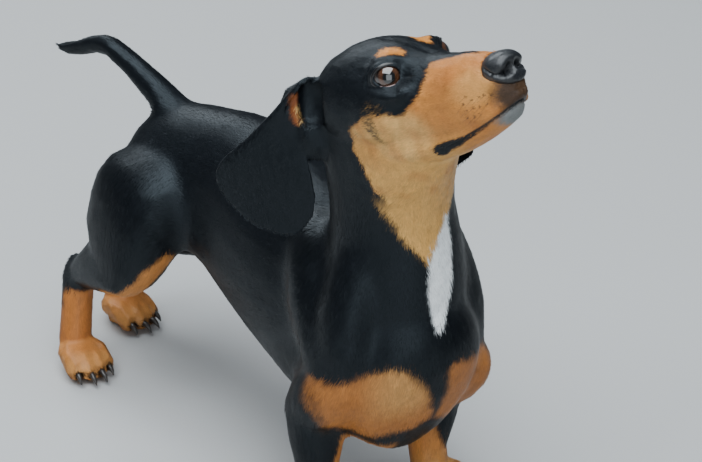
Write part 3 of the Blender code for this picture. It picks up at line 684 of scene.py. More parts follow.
# Outline of the tan of the face, seen from the side as (y, z) in the head frame.
FACE_TAN = (
    (-90, 8), (-50, 6), (-26, 5), (-22.5, -1), (-21.5, -10), (-17, -15.5), (-11, -19.8), (-4, -22.5),
    (1, -22.2), (5, -19.5), (10.9, -17.2), (20.3, -18.2), (32, -20), (40, -24), (45, -32), (45, -42),
    (47, -60), (40, -110), (-60, -110), (-95, -40),
)
# Outline of the spot over each eye, seen from above as (x, y) in the head frame.
BROW_SPOT = (
    (16.5, 10), (13, 10.8), (10.2, 8.4), (8.2, 4.6), (7.2, 0.5), (7.4, -3.4), (9.2, -6.2), (11.4, -5.8),
    (13.0, -3.4), (15.2, -1.2), (17.4, 1.8), (18.4, 6.0),
)
# Half width of the black stripe on the bridge at places along it.
BRIDGE_Y = (-58, -50, -40, -30, -22, -14)
BRIDGE_HALF = (0.0, 1.2, 3.6, 6.2, 9.4, 16.0)
# Outlines on the front of the neck and chest as (x, z) in the animal's frame.
THROAT_TAN = (
    (-46, 276), (-39.7, 269), (-36.3, 254.3), (-31.9, 242.8), (-26.1, 231.5), (-19.3, 218.2),
    (-15.2, 211.4), (-10.3, 204.7), (-4.5, 197), (0, 204), (4, 212), (10, 222), (18, 234), (28, 252),
    (34, 276),
)
BLAZE = (
    (9.5, 225), (6.4, 217), (1.1, 206.6), (-3.6, 197.2), (-5.1, 179.7), (-3.3, 166.4), (-1.8, 155),
    (1.5, 154), (7.0, 163), (11.4, 176), (13.6, 194), (14.0, 212), (12.0, 224),
)
CHEST_RIGHT = (
    (-57, 100), (-56.9, 109), (-55.1, 117.5), (-44, 122.2), (-36.6, 127.8), (-26.8, 132.9), (-20, 131),
    (-14.9, 125.1), (-6, 115), (-0.7, 103.8), (4.5, 92), (4.5, 87), (-3.9, 82.4), (-14, 79), (-24, 77),
    (-36, 76), (-50.3, 84.6),
)
CHEST_LEFT = (
    (6, 128), (12, 132), (20, 130), (36, 126), (52, 118), (62, 107), (68, 92), (64, 76), (50, 68), (34, 70),
    (20, 80), (9, 87.2), (9.5, 103), (8.2, 114),
)
# The dark smudge on the cheek as (y, z) in the head frame.
DARK_STRIPE = ((15.5, -15), (16.6, -21), (17.2, -28), (19, -35))
# The hair inside each ear's root: the paths of the rust edge and of the pale patch.
EAR_LININGS = (
    (((-52.0, -76.5, 292), (-53.2, -76.5, 285), (-52.2, -78.5, 277)),
     ((-50.4, -78.2, 284.5), (-49.6, -80, 278.5))),
    (((20, -82, 294), (21, -83, 286), (20.5, -85, 278)), ((18, -84, 285), (17.5, -85.5, 279))),
)
# Whisker roots on the lip as (y, z) in the head frame, and on the cheek with their lengths.
WHISKER_DOTS = (
    (-47, -23.2), (-50.4, -25.6), (-55.3, -25.5), (-58.6, -25.7), (-62.8, -26.6), (-44.4, -26.8),
    (-50.2, -30.2), (-54.7, -30.6), (-58.9, -30.1), (-44.9, -30.6), (-43.8, -34.6), (-48.6, -35),
    (-53.2, -34.9),
)
CHEEK_WHISKERS = ((33, -25, 8), (34, -26.5, 6))
MOLES = ((33, -25), (7, -47.5))
# Paler and darker places of the face in the head frame: centre and radii.
# The cheek: paler hair, brightened further by painted sheen.
PALE_CHEEK_AND_SHEEN = ((0, 6, -33), (40, 22, 16))
PALE_MUZZLE = ((0, -52, -20), (30, 18, 12))
DARK_MUZZLE = ((0, -31, -19), (34, 11, 13))
GRIZZLE = ((0, 12, -14), (40, 11, 6.5))
# Under the nose and down the front of the upper lip: the dark skin there, with painted shade laid over it.
DARK_AND_SHADED_LIP = ((0, -71, -29), (17, 18, 12))
GREY_CHIN = ((0, -63, -41.5), (13, 15, 6.5))
# The tan under the tail and in the groin in the animal's frame.
VENT = ((-6, 166, 164), (12, 14, 20))
GROIN = ((0, 108, 100), (34, 34, 18))
# How far the tan of a foreleg reaches out from its middle, at heights.
FORELEG_HEIGHTS = (16, 28, 40, 52, 70)
FORELEG_TAN = (30, 10, 1, -6, -12)
# Strips of tan along the front of each hind leg: path and radius.
HIND_STRIPS = (
    (((-55, 130, 72), (-53, 113, 79), (-51, 100, 89), (-47, 91, 101), (-38, 82, 113)), 6.8),
    (((33, 142, 71), (38, 120, 81), (40, 106, 92), (38, 94, 105), (32, 87, 116)), 7.4),
)


# Each function of marks gives colours and their weights, from the lowest layer to the top one. It takes
# places, the same places moved a little so that the edges are ragged, and the outward directions.

def marked_head(p):
    """1 on the part of the head that carries the marks of the face."""
    h = to_head(p)
    return blend(h[:, 2], -100, -70) * (p[:, 2] > 245) * blend(-h[:, 1], -60, -48)


def mottle(p):
    return np.clip(0.5 + 0.9 * ripple(p, 2.2, 63), 0, 1)


def front_marks(p, r, n):
    """The throat, the chest and the blaze."""
    flat = r[:, (0, 2)]
    height = p[:, 2]
    ahead = blend(-p[:, 1], 84, 96) * blend(-n[:, 1], -0.35, -0.05)
    tan = within(flat, THROAT_TAN, 2.2) * blend(-p[:, 1], 104, 112) * (height < 276)
    tan *= 1 - blend(to_head(p)[:, 1], 43, 47) * blend(height, 232, 244)
    yield GOLD, tan * (1 - marked_head(p))
    chest = np.maximum(*[within(flat, outline, 3.6) * ahead for outline in (CHEST_RIGHT, CHEST_LEFT)])
    chest *= blend(-height, -136, -130)
    yield CHEST, chest
    yield BUFF, chest * 0.4 * blend(r[:, 2], 84, 112) * fall(np.abs(r[:, 0] + 17), 4, 26)
    yield WHITE, within(flat, BLAZE, 1.6) * ahead


def leg_marks(p, r, n):
    """Tan feet, inner sides of the forelegs, hind pasterns and strips on the stifles, and dark pads."""
    rx, ry, rz = r.T
    for sign, side in ((-1, "right"), (1, "left")):
        foot_x, foot_y = FEET["front_" + side]
        near = fall(np.abs(p[:, 0] - foot_x), 26, 32) * fall(np.abs(p[:, 1] - foot_y + 4), 34, 42)
        out = sign * (rx - foot_x) - 0.10 * (rz - 20)
        limit = np.interp(rz, FORELEG_HEIGHTS, FORELEG_TAN)
        tan = fall(out - limit, -2.5, 2.5) * fall(rz, 62, 70) * near
        yield TAN, tan
        yield BUFF, tan * 0.35 * fall(rz, 14, 40)
        foot_x, foot_y = FEET["hind_" + side]
        near = fall(np.abs(p[:, 0] - foot_x), 26, 32) * blend(p[:, 1], foot_y - 50, foot_y - 44)
        heel = blend(ry - foot_y + 0.10 * (60 - rz), 4, 10) * blend(rz, 40, 52)
        tan = fall(rz, 54, 60) * near * (1 - heel)
        yield TAN, tan
        yield RUST, tan * 0.5
        yield BUFF, tan * 0.30 * fall(rz, 12, 26)
    for path, radius in HIND_STRIPS:
        yield TAN, fall(path_distance(r, path), radius - 2.0, radius + 2.5) * blend(-n[:, 1], -0.35, 0.25)
    for paw in FEET:
        for toe in TOES:
            yield DARK_SKIN, fall(norms(p - np.array(toe_point(paw, toe, CLAW_ROOT))), 2.6, 4.4)
    yield DARK_SKIN, fall(p[:, 2], 1.2, 2.6) * blend(-n[:, 2], 0.3, 0.8)


def rear_marks(p, r, n):
    """The vent, the groin, and the hair inside the ears' roots."""
    yield TAN, spot(r, VENT, 0.75, 1.1) * blend(n[:, 1], -0.2, 0.3)
    yield RUST, spot(r, GROIN, 0.7, 1.1) * blend(-n[:, 2], 0.1, 0.6) * 0.8
    for rust, pale in EAR_LININGS:
        yield RUST, 0.65 * fall(path_distance(p, rust), 1.2, 3.6)
        yield BUFF, 0.6 * mottle(p) * fall(path_distance(p, pale), 0.8, 3.6)


def face_marks(p, r, n):
    """The tan face with its paler and darker places, a cheek made paler partly by painted sheen, painted
    shade under the nose, the black bridge, and the spots over the eyes.
    """
    h, own, head = to_head(r), to_head(p), marked_head(p)
    x, y, z = h.T
    side, flat = np.abs(x), h[:, (1, 2)]
    half = np.interp(y, BRIDGE_Y, BRIDGE_HALF)
    face = within(flat, FACE_TAN, 1.6) * head * fall(side, 39, 42)
    face *= 1 - blend(half - side, -1.3, 1.3) * (z > -14) * blend(half, 0.0, 1.0)
    yield TAN, face
    yield GOLD, blend(-z, 30, 56) * blend(y, -40, -10) * face
    yield GOLD, blend(y, -6, 14) * face * blend(-z, 60, 34) * 0.6
    # Paler cheek hair, with painted sheen.
    yield BUFF, spot(h * (0, 1, 1), PALE_CHEEK_AND_SHEEN) * face * 0.7
    yield RUST, blend(-y, 18, 30) * blend(z, -24, -10) * face * 0.30
    yield BUFF, 0.30 * spot(h, PALE_MUZZLE) * face * blend(side, 6, 11)
    yield UMBER, 0.40 * spot(h, DARK_MUZZLE) * face
    yield RUST, 0.30 * np.clip(ripple(p, 15, 71), 0, 1) * face
    stripe = path_distance(flat, DARK_STRIPE) - 3.4 * blend(z, -36, -17)
    flecks = np.clip(0.85 + 0.8 * ripple(p, 1.9, 61), 0, 1)
    yield SMUDGE, fall(stripe, -0.8, 3.2) * 0.85 * flecks * face
    grizzle = spot(h, GRIZZLE) * np.clip(ripple(p, 1.7, 62), 0, 1) * head * blend(side, 14, 18)
    yield GOLD, 0.45 * grizzle * (1 - face)
    for place in MOLES:
        yield BUFF, fall(norms(flat - np.array(place)), 1.5, 5.0) * 0.55 * face
    # Painted shade under the nose, over the dark skin there.
    yield SOOT_AND_SHADE, spot(h, DARK_AND_SHADED_LIP) * (z < -17) * head * 0.93
    yield GREY, spot(h, GREY_CHIN) * (z < -35) * head
    brow = within(np.stack([side, y], 1), BROW_SPOT, 0.9) * (z > 1) * head
    yield BROW, brow * (0.86 + 0.14 * mottle(p))
    yield DARK_SKIN, fall(path_distance(np.hstack([np.abs(own[:, :1]), own[:, 1:]]), INNER_CORNER), 0.8, 1.6)
    for place in WHISKER_DOTS:
        dot = np.hypot(own[:, 1] - place[0], own[:, 2] - place[1])
        yield FOLLICLE, fall(dot, 0.35, 0.95) * 0.8 * face


def lip_weight(p, mouth):
    """1 on the dark lips, which are wider at the corners of the mouth."""
    lips = np.zeros(len(p))
    on = np.nonzero(marked_head(p) > 0.01)[0]
    thick = hump(nearest(p[on], (mouth[0], mouth[-1])), 0, 15)
    lips[on] = fall(path_distance(p[on], mouth), 1.1 + 2.1 * thick, 2.1 + 2.8 * thick)
    return lips


def coat_colour(p, n, mouth):
    """The colour of the coat at places in the animal's frame, whose outward directions are n."""
    r = p + 0.7 * wander(p, 9, 11) + 0.45 * wander(p, 3.1, 21)
    colour = np.tile(np.array(BLACK), (len(p), 1))
    for marks in (front_marks, leg_marks, rear_marks, face_marks):
        for mark, weight in marks(p, r, n):
            colour += (np.array(mark) - colour) * weight[:, None]
    colour += (np.array(DARK_SKIN) - colour) * lip_weight(p, mouth)[:, None]
    return np.clip(colour, DARKEST, 1.0)


# The lie of the coat

# Runs of the coat in the animal's frame: start and end of each, hair points from start to end.
FLOW = (
    ((-10, -62, 300), (0, -45, 205)), ((3, -40, 203), (12, 60, 210)), ((12, 60, 210), (2, 150, 190)),
    ((2, 150, 203), (-8, 192, 219)), ((-8, 192, 219), (-20, 247, 205)), ((-14, -150, 262), (2, -146, 180)),
    ((2, -150, 160), (4, -120, 62)), ((4, -100, 54), (10, 30, 72)), ((10, 30, 74), (6, 120, 102)),
    ((-50, -60, 150), (-42, 70, 140)), ((55, -60, 150), (58, 70, 140)), ((-36, -100, 250), (-46, -90, 160)),
    ((30, -100, 250), (46, -95, 160)), ((-50, -100, 140), (-50, -74, 85)), ((56, -108, 140), (58, -84, 85)),
    ((-48, -72, 85), (-38, -82, 20)), ((52, -84, 85), (40, -94, 20)), ((-37, -80, 14), (-41, -112, 4)),
    ((39, -92, 14), (43, -124, 4)), ((-44, 112, 165), (-56, 120, 95)), ((46, 114, 165), (50, 126, 95)),
    ((-50, 125, 90), (-48, 184, 66)), ((40, 135, 90), (16, 198, 67)), ((-48, 184, 60), (-56, 176, 14)),
    ((14, 202, 60), (4, 214, 14)), ((-56, 176, 12), (-57, 146, 3)), ((4, 214, 12), (7, 182, 3)),
    ((0, 155, 185), (-4, 160, 120)), ((-50, -74, 300), (-62, -64, 262)), ((-62, -64, 262), (-56, -70, 202)),
    ((18, -80, 300), (42, -78, 262)), ((42, -78, 262), (49, -79, 206)),
)
# Runs on the head in its own frame, on both sides.
HEAD_FLOW = (
    ((6, -60, -6), (8, -18, 4)), ((8, -14, 8), (12, 40, 20)), ((12, 44, 20), (10, 82, -4)),
    ((14, -66, -26), (22, -10, -26)), ((24, -10, -20), (34, 34, -22)), ((34, 34, -20), (26, 66, -50)),
    ((6, -70, -42), (14, -20, -54)), ((14, -20, -56), (14, 30, -70)), ((26, 8, 10), (34, 44, 8)),
)


def lie(p, n):
    """The direction in which the hair lies at each place, square to the outward direction."""
    runs = [np.array(run, float) for run in FLOW]
    runs += [mirrored(run, sign) for run in HEAD_FLOW for sign in (-1, 1)]
    total = np.zeros_like(p)
    for a, b in runs:
        along = (b - a) / np.linalg.norm(b - a)
        total += along / (to_line(p, a, b)[:, None] ** 2 + 30.0) ** 2
    total -= n * np.sum(total * n, axis=1)[:, None]
    size = norms(total)
    total[size < 1e-9] = (0, 0, -1)
    return total / np.maximum(size, 1e-9)[:, None]


# Tufts

COAT_TUFTS = 400000
PIECE_TUFTS = 62000
# Length of the hairs on the body, and how much less it is in places.
HAIR = 5.2
SHORTER = {"head": 2.2, "feet": 2.6, "muzzle": 1.2}
SHORTEST = 1.4
LOWEST = 0.05
ROOT_DEPTH = 0.15
# Shades of a tuft from its root to its tip, and the patch of the flat layout that it takes.
TUFT_SHADES = (0.94, 0.94, 1.0, 1.0, 1.08)
TUFT_PATCH = ((-1, -1), (1, -1), (-1, 0.3), (1, 0.3), (0, 1))
TUFT_FACES = ((0, 1, 3), (0, 3, 2), (2, 3, 4))
PATCH_SIZE = 0.0015


def hair_length(p):
    """Length of the coat's hairs: short on the face, the ears and the feet."""
    head = headness(p)
    length = HAIR - SHORTER["head"] * head - SHORTER["feet"] * footness(p)
    length -= head * SHORTER["muzzle"] * blend(-to_head(p)[:, 1], 10, 50)
    near_eye = np.minimum(*[norms(eye_space(p, sign)) for sign in (-1, 1)])
    length *= 1 - 0.45 * fall(near_eye, 10, 20)
    return np.maximum(length, SHORTEST)


def bare(p, n, mouth):
    """1 where the skin carries no hair: inside the lids, on the lips and under the pads."""
    none = np.zeros(len(p))
    for sign in (-1, 1):
        q = eye_space(p, sign)
        close = (norms(q) < 16) & (q[:, 1] > 0)
        none = np.maximum(none, close * blend(lid_gap(q, sign, 61), -1.5, -0.7))
    on = np.nonzero(headness(p) > 0.01)[0]
    none[on] = np.maximum(none[on], fall(path_distance(p[on], mouth), 0.7, 1.2))
    return np.maximum(none, (p[:, 2] < 1.6) & (n[:, 2] < -0.5))


def tuft_roots(skin, mouth):
    """Even random places on the skin, with their outward directions and places in its flat layout."""
    total = COAT_TUFTS
    skin.data.calc_loop_triangles()
    tris, loops = [numbers(skin.data.loop_triangles, key, 3, np.int32) for key in ("vertices", "loops")]
    uvs = numbers(skin.data.uv_layers["OFBake"].data, "uv", 2)[loops]
    p, n = read(skin), normals(skin)
    a, b, c = p[tris[:, 0]], p[tris[:, 1]], p[tris[:, 2]]
    area = norms(np.cross(b - a, c - a)) / 2
    cumulative = np.cumsum(area / (hair_length((a + b + c) / 3) ** 0.85))
    pick = np.searchsorted(cumulative, RNG.uniform(0, cumulative[-1], total))
    pick = np.clip(pick, 0, len(tris) - 1)
    u, v = RNG.uniform(size=(2, total))
    flip = u + v > 1
    u[flip], v[flip] = 1 - u[flip], 1 - v[flip]
    w = np.stack([1 - u - v, u, v], 1)
    root, out, uv = [np.einsum("nk,nkd->nd", w, rows) for rows in (p[tris[pick]], n[tris[pick]], uvs[pick])]
    out /= norms(out)[:, None]
    keep = bare(root, out, mouth) < RNG.uniform(0.2, 0.8, total)
    return root[keep], out[keep], uv[keep]


def coat_tufts(skin, mouth, material):
    """Short flat tufts set all over the skin, in pieces."""
    root, out, uv = tuft_roots(skin, mouth)
    count = len(root)
    along = lie(root, out)
    swirl = 0.12 * ripple(root, 16, 31) + RNG.normal(0, 0.09, count)
    side = np.cross(out, along)
    turn, lean = np.cos(swirl)[:, None], np.sin(swirl)[:, None]
    along, side = along * turn + side * lean, side * turn - along * lean
    length = hair_length(root) * RNG.uniform(0.7, 1.15, count)
    length = length * (1 - 0.42 * earness(root)) * (1 - 0.55 * ear_rim(root, out))
    length *= 1 - 0.35 * blend(root[:, 1], 228, 240)
    lift = length * (0.060 + 0.020 * ripple(root, 6, 32) + RNG.uniform(-0.02, 0.03, count))
    wide = ((0.15 + 0.022 * length) * RNG.uniform(0.75, 1.25, count))[:, None]
    base = root - out * ROOT_DEPTH
    bend = root + along * (0.5 * length)[:, None] + out * (0.65 * lift)[:, None]
    tip = root + along * length[:, None] + out * (0.85 * lift)[:, None]
    rows = [base - side * wide, base + side * wide, bend - side * 0.8 * wide, bend + side * 0.8 * wide, tip]
    points = np.stack(rows, 1)
    points[:, :, 2] = np.maximum(points[:, :, 2], LOWEST)
    colour = coat_colour(root + RNG.normal(0, 0.35, (count, 3)), out, mouth)
    shade = RNG.normal(1.0, 0.08, count) + 0.07 * ripple(root, 7, 41)
    colour *= np.clip(shade, 0.6, 1.5)[:, None]
    order = RNG.permutation(count)
    pieces = []
    for index, start in enumerate(range(0, count, PIECE_TUFTS)):
        rows = [values[order[start: start + PIECE_TUFTS]] for values in (points, colour, uv)]
        pieces.append(tuft_piece(f"coat_tufts_{index + 1}", *rows, material))
    return pieces


def add_colours(mesh, colour):
    """The colours of a mesh's points."""
    rgba = np.ones((len(mesh.vertices), 4), np.float32)
    rgba[:, :3] = colour.reshape(-1, 3)
    mesh.color_attributes.new("coat", "FLOAT_COLOR", "POINT").data.foreach_set("color", rgba.ravel())


def tuft_piece(name, points, colour, uv, material):
    count = len(points)
    faces = np.array(TUFT_FACES)
    corners = (np.arange(count)[:, None, None] * 5 + faces[None]).reshape(-1)
    mesh = bpy.data.meshes.new(name)
    mesh.vertices.add(count * 5)
    mesh.vertices.foreach_set("co", placed(points).astype(np.float32).ravel())
    mesh.loops.add(len(corners))
    mesh.loops.foreach_set("vertex_index", corners.astype(np.int32))
    mesh.polygons.add(count * 3)
    mesh.polygons.foreach_set("loop_start", (np.arange(count * 3) * 3).astype(np.int32))
    mesh.update(calc_edges=True)
    add_colours(mesh, np.clip(colour[:, None] * np.array(TUFT_SHADES)[None, :, None], 0, 1))
    corner_uv = (uv[:, None] + (np.array(TUFT_PATCH) * PATCH_SIZE)[None])[:, faces.ravel()].reshape(-1)
    mesh.uv_layers.new(name="OFBake").data.foreach_set("uv", corner_uv.astype(np.float32))
    mesh.shade_smooth()
    mesh.materials.append(material)
    return linked(name, mesh)


# Materials

def filled(made, values):
    """A shader node with its inputs and settings, in whose names _ stands for a space."""
    for key, value in values.items():
        socket = key.replace("_", " ")
        if socket in made.inputs:
            made.inputs[socket].default_value = value
        else:
            setattr(made, key, value)
    return made


def node(shader, kind, **values):
    return filled(shader.id_data.nodes.new(kind), values)


def wire(source, out, target, into):
    source.id_data.links.new(source.outputs[out], target.inputs[into])


def shader_for(name, **values):
    """A new material and its shader."""
    made = bpy.data.materials.new(name)
    made.use_nodes = True
    return made, filled(made.node_tree.nodes["Principled BSDF"], values)


def add_bump(shader, height, out, strength, distance):
    bump = node(shader, "ShaderNodeBump", Strength=strength, Distance=distance)
    wire(height, out, bump, "Height")
    wire(bump, "Normal", shader, "Normal")


def noise(shader, scale, detail=3.0, stretch=(1, 1, 1)):
    mapping = node(shader, "ShaderNodeMapping", Scale=stretch)
    made = node(shader, "ShaderNodeTexNoise", Scale=scale, Detail=detail)
    wire(node(shader, "ShaderNodeTexCoord"), "Object", mapping, "Vector")
    wire(mapping, "Vector", made, "Vector")
    return made


def coat_material(name, roughness, bump):
    """Colour from the coat attribute, with a slight change from place to place."""
    made, shader = shader_for(name, Specular_IOR_Level=0.30, Specular_Tint=(0.76, 0.91, 1.0, 1))
    patch = noise(shader, 260.0)
    change = node(shader, "ShaderNodeMapRange", To_Min=0.84, To_Max=1.16)
    gloss = node(shader, "ShaderNodeMapRange", To_Min=roughness - 0.06, To_Max=roughness + 0.08)
    scale = node(shader, "ShaderNodeVectorMath", operation="SCALE")
    wire(node(shader, "ShaderNodeAttribute", attribute_name="coat"), "Color", scale, 0)
    wire(patch, "Fac", change, "Value")
    wire(change, "Result", scale, "Scale")
    wire(scale, "Vector", shader, "Base Color")
    wire(patch, "Fac", gloss, "Value")
    wire(gloss, "Result", shader, "Roughness")
    if bump:
        add_bump(shader, noise(shader, 900.0, 4.0, (1.0, 0.35, 0.8)), "Fac", 0.6, 0.0006)
    return made


def leather_material():
    made, shader = shader_for("nose_leather", Base_Color=(0.006, 0.007, 0.009, 1), Roughness=0.38,
                              Specular_IOR_Level=0.5, Coat_Weight=0.35, Coat_Roughness=0.18)
    cells = node(shader, "ShaderNodeTexVoronoi", feature="DISTANCE_TO_EDGE", Scale=950.0)
    ramp = node(shader, "ShaderNodeMapRange", From_Max=0.22)
    wire(node(shader, "ShaderNodeTexCoord"), "Object", cells, "Vector")
    wire(cells, "Distance", ramp, "Value")
    add_bump(shader, ramp, "Result", 0.55, 0.0002)
    return made


def plain_material(name, colour, roughness, coat=0.0):
    made, shader = shader_for(name, Base_Color=(*colour, 1), Roughness=roughness, Coat_Weight=coat,
                              Coat_Roughness=0.1)
    add_bump(shader, noise(shader, 1400.0), "Fac", 0.15, 0.0002)
    return made


def eye_material():
    made, shader = shader_for("eye_glaze", Roughness=0.10, Specular_IOR_Level=0.6, Coat_Weight=1.0,
                              Coat_Roughness=0.02, Coat_IOR=1.7)
    wire(node(shader, "ShaderNodeAttribute", attribute_name="coat"), "Color", shader, "Base Color")
    return made


# Eyes, lids, nose, claws and whiskers

def unit(value):
    return min(1.0, max(0.0, value))


def eye_colour(out, streak):
    """The colour of the eye at an angle from its axis."""
    if out < PUPIL_ANGLE:
        return np.array(PUPIL)
    if out < CORNEA_ANGLE:
        share = unit((out - PUPIL_ANGLE) / (IRIS_ANGLE - PUPIL_ANGLE))
        iris = np.array(IRIS) * streak * (0.75 + 0.9 * share * (1 - share) * 2)
        return iris * (1 - 0.9 * unit((out - IRIS_ANGLE + 10) / 8))
    fade = unit((out - CORNEA_ANGLE) / 45)
    return np.array(EYE_RIM) * (1 - fade) + np.array(EYE_WHITE) * fade


def eye_piece(name, sign, material):
    """An eyeball with a brown iris, a pupil and a raised cornea."""
    rings, segments = 60, 96
    points, colours = [], []
    streaks = np.random.default_rng(5).uniform(0.72, 1.25, segments)
    streaks = (streaks + np.roll(streaks, 1)) / 2
    for i in range(rings + 1):
        polar, out = pi * i / rings, 180 * i / rings
        radius = EYE_RADIUS - 0.05 + CORNEA_HEIGHT * max(0.0, 1 - (out / CORNEA_ANGLE) ** 2)
        for k in range(segments):
            angle = 2 * pi * k / segments
            points.append(radius * np.array((sin(polar) * cos(angle), cos(polar),
                                             sin(polar) * sin(angle))))
            colours.append(eye_colour(out, streaks[k]))
    obj = new_object(name, from_eye(np.array(points), sign), ring_faces(rings + 1, segments, ends=False))
    add_colours(obj.data, np.array(colours))
    with editing(obj.data) as form:
        bmesh.ops.remove_doubles(form, verts=form.verts, dist=1e-7)
        bmesh.ops.recalc_face_normals(form, faces=form.faces)
    obj.data.shade_smooth()
    obj.data.materials.append(material)
    return obj


def lid_tube(angles, sign, width, height, reach, radii, segments):
    """A tube along the rim of one eye's lid opening, at a distance from the eye's centre."""
    x, z = lid_edge(angles)
    x, z = x * width, z * height
    places = from_eye(np.stack([-sign * x, np.sqrt(reach**2 - x**2 - z**2), z], 1), sign)
    return tube(np.column_stack([places, radii]), segments=segments, steps=1)


def lid_rims(sign):
    """The bare dark rims of both lids round one eye, thicker above and in the corners."""
    angles = np.linspace(0, 2 * pi, 73)
    radii = 0.75 + 0.40 * np.maximum(0.0, np.sin(angles)) + 0.35 * np.abs(np.cos(angles)) ** 6
    return lid_tube(angles, sign, 1, 1, EYE_RADIUS + 0.55, radii, 10)


def wet_line(sign):
    """The pale moist edge of the lower lid, which thins out towards the corners."""
    angles = np.linspace(pi * 1.02, pi * 1.98, 40)
    radii = 0.12 + 0.30 * np.abs(np.sin(angles)) ** 0.6
    return lid_tube(angles, sign, 0.955, 0.90, EYE_RADIUS + 0.75, radii, 8)


# The nose in the head frame, from front to back: y, z, half width, height above, depth below.
NOSE = (
    (-75.6, -18.0, 3.6, 5.0, 4.4), (-75.0, -17.9, 6.6, 7.8, 6.4), (-73.0, -17.5, 9.2, 9.7, 7.8),
    (-70.0, -17.0, 10.7, 10.5, 8.1), (-66.0, -16.5, 11.4, 10.5, 7.9), (-61.8, -16.0, 11.2, 9.9, 7.2),
    (-58.2, -15.7, 9.9, 8.6, 6.1), (-55.0, -15.5, 7.0, 6.4, 4.6),
)
# Paths on one side of the nose, and the groove down its middle.
NOSTRIL = ((-3.4, -75.4, -15.6), (-4.8, -74.7, -16.6), (-6.4, -73.8, -17.3), (-8.0, -72.5, -17.8))
NOSE_SLIT = (
    (-8.0, -72.4, -17.9), (-9.2, -71.0, -18.0), (-10.2, -68.6, -17.2), (-10.8, -66.2, -15.6),
    (-10.7, -64.0, -13.8), (-9.9, -61.8, -12.4),
)
NOSE_WING = ((-8.6, -72.4, -13.0), (-9.9, -69.5, -12.2), (-9.9, -66.4, -10.6))
NOSE_RIM = ((-4.2, -74.6, -20.2), (-7.2, -73.0, -20.6), (-9.6, -70.2, -20.0), (-10.9, -67.2, -18.2))
NOSE_GROOVE = ((0, -79, -12), (0, -77, -20), (0, -74.5, -28))
# Forms pressed into each side: path, width, height.
NOSE_FORMS = ((NOSE_WING, 3.2, 0.35), (NOSE_RIM, 1.3, 0.5), (NOSE_SLIT, 1.0, -2.3), (NOSTRIL, 2.5, -6.0))
NOSE_VOXEL = 0.30 * MM


def fine_nose(material):
    """The nose leather: nostrils with a slit behind each wing, a midline groove and a rounded rim."""
    rows = smooth_rows(NOSE, 6)
    segments = 96
    points = []
    for y, z, wide, above, below in rows:
        for angle in np.linspace(0, 2 * pi, segments, endpoint=False):
            c, s = cos(angle), sin(angle)
            reach = above if s > 0 else below
            points.append((wide * power(c, 0.88), y, z + reach * power(s, 0.92)))
    obj = facing_out(new_object("nose_fine", from_head(points), ring_faces(len(rows), segments)))
    modified(obj, "REMESH", mode="VOXEL", voxel_size=NOSE_VOXEL)
    smoothed(obj, 12)
    p, n = read(obj), normals(obj)
    for sign in (1, -1):
        for path, width, height in NOSE_FORMS:
            p = press(p, n, mirrored(path, sign), width, height)
    write(obj, press(p, n, from_head(NOSE_GROOVE), 0.6, -0.8))
    smoothed(obj, 2)
    obj.data.materials.append(material)
    obj.data.shade_smooth()
    return obj


WHISKER_LENGTH = 5.5
WHISKER_RADIUS = 0.06


def whiskers(tree):
    """Short fine whiskers on the muzzle and the cheeks."""
    parts = []
    for sign in (-1, 1):
        for y, z, reach in [(y, z, WHISKER_LENGTH) for y, z in WHISKER_DOTS] + list(CHEEK_WHISKERS):
            root = on_skin(tree, y, z, sign)
            if root is None:
                continue
            draw, swing, drop = RNG.uniform((0.8, -1, -1), (1.2, 1, 1))
            aim = HEAD_TURN @ np.array((sign * 0.75, 0.55 + 0.2 * swing, -0.35 + 0.2 * drop))
            rows = []
            for share in (-0.05, 0.35, 0.7, 1.0):
                place = root + aim * reach * draw * share + np.array((0, 0.10, -0.16)) * reach * share**2
                rows.append((*place, WHISKER_RADIUS * (1.03 - share)))
            parts.append(tube(rows, segments=5, steps=2))
    return parts


# Putting it together

def unwrap(skin):
    """A flat layout of the skin's own shape."""
    bpy.context.view_layer.objects.active = skin
    for obj in bpy.context.selected_objects:
        obj.select_set(False)
    skin.select_set(True)
    skin.data.uv_layers.new(name="OFBake")
    bpy.ops.object.mode_set(mode="EDIT")
    bpy.ops.mesh.select_all(action="SELECT")
    bpy.ops.uv.smart_project(angle_limit=radians(66), island_margin=0.001)
    bpy.ops.object.mode_set(mode="OBJECT")


def finished(obj):
    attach(obj, "root")
    return obj


def add_tubes(name, parts, material):
    obj = new_object(name, *gathered(parts))
    obj.data.materials.append(material)
    return finished(obj)


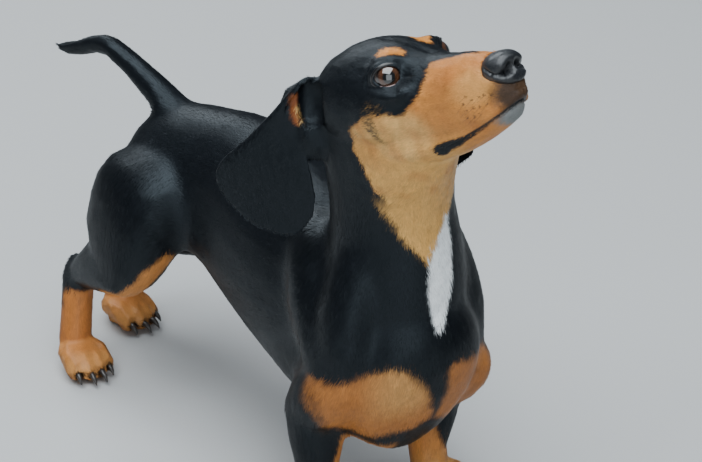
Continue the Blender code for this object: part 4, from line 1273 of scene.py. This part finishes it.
def build():
    skin = base_skin()
    refined(skin)
    mouth = shaped(skin)
    thin_skin(skin)
    unwrap(skin)
    add_colours(skin.data, coat_colour(read(skin), normals(skin), mouth))
    skin.data.materials.append(coat_material("coat_skin", 0.5, True))
    finished(skin)
    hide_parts(*FLESH)
    for piece in coat_tufts(skin, mouth, coat_material("coat_tufts", 0.40, False)):
        finished(piece)
    glaze = eye_material()
    for name, sign in EYES.items():
        ball = finished(eye_piece(name + "_fine", sign, glaze))
        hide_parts(name)
    rim = plain_material("wet_rim", (0.006, 0.005, 0.005), 0.30, 0.4)
    facing_out(add_tubes("lid_rims", [lid_rims(sign) for sign in (-1, 1)], rim))
    wet = plain_material("wet_line", (0.30, 0.20, 0.19), 0.2, 0.6)
    facing_out(add_tubes("lid_wet_lines", [wet_line(sign) for sign in (-1, 1)], wet))
    nose = finished(fine_nose(leather_material()))
    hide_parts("nose")
    claws = [claw for paw in FEET for claw in claw_tubes(paw)]
    facing_out(add_tubes("claws", claws, plain_material("claw_horn", (0.035, 0.028, 0.024), 0.32, 0.3)))
    add_tubes("whiskers", whiskers(tree_of(skin)), plain_material("whisker", (0.02, 0.018, 0.016), 0.4))


FLOOR_COLOUR = (0.47, 0.47, 0.465, 1)
WORLD_COLOUR = (0.72, 0.84, 1.0, 1)
WORLD_STRENGTH = 0.15
# Each light: name, place, size, power.
LIGHTS = (
    ("sky", (-0.45, -0.3, 2.2), 2.4, 106), ("front", (-1.16, -2.06, 0.90), 1.8, 19),
    ("rear", (0.3, 1.6, 1.5), 1.2, 22),
)
LIGHT_COLOUR = (0.88, 0.95, 1.0)
LIGHT_AIM = (0, -0.03, 0.18)
SENSOR_WIDTH = 36.0
LENS = 143.19
CAMERA_PLACE = (-0.9003, -1.2562, 0.9525)
CAMERA_AZIMUTH = 37.0
CAMERA_DIP = 27.217


def looking(obj, place, aim):
    """Puts a light or a camera in its place, turned along a direction."""
    obj.location = place
    obj.rotation_euler = aim.to_track_quat("-Z", "Y").to_euler()


def studio():
    """A pale floor, soft lights and the camera."""
    mesh = bpy.data.meshes.new("floor")
    with editing(mesh) as form:
        bmesh.ops.create_grid(form, x_segments=1, y_segments=1, size=6.0)
    mesh.materials.append(shader_for("floor", Base_Color=FLOOR_COLOUR, Roughness=0.9)[0])
    floor = linked("floor", mesh)
    world = bpy.data.worlds.new("studio")
    bpy.context.scene.world = world
    world.use_nodes = True
    filled(world.node_tree.nodes["Background"], {"Color": WORLD_COLOUR, "Strength": WORLD_STRENGTH})
    for name, place, size, power in LIGHTS:
        light = bpy.data.lights.new(name, "AREA")
        light.color = LIGHT_COLOUR
        light.size = size
        light.energy = power
        looking(linked(name, light), place, Vector(LIGHT_AIM) - Vector(place))
    lens = bpy.data.cameras.new("camera")
    lens.sensor_width = SENSOR_WIDTH
    lens.lens = LENS
    azimuth, dip = radians(CAMERA_AZIMUTH), radians(CAMERA_DIP)
    aim = Vector((sin(azimuth) * cos(dip), cos(azimuth) * cos(dip), -sin(dip)))
    camera = linked("camera", lens)
    looking(camera, Vector(CAMERA_PLACE) + SHIFT, aim)
    bpy.context.scene.camera = camera


build()
studio()
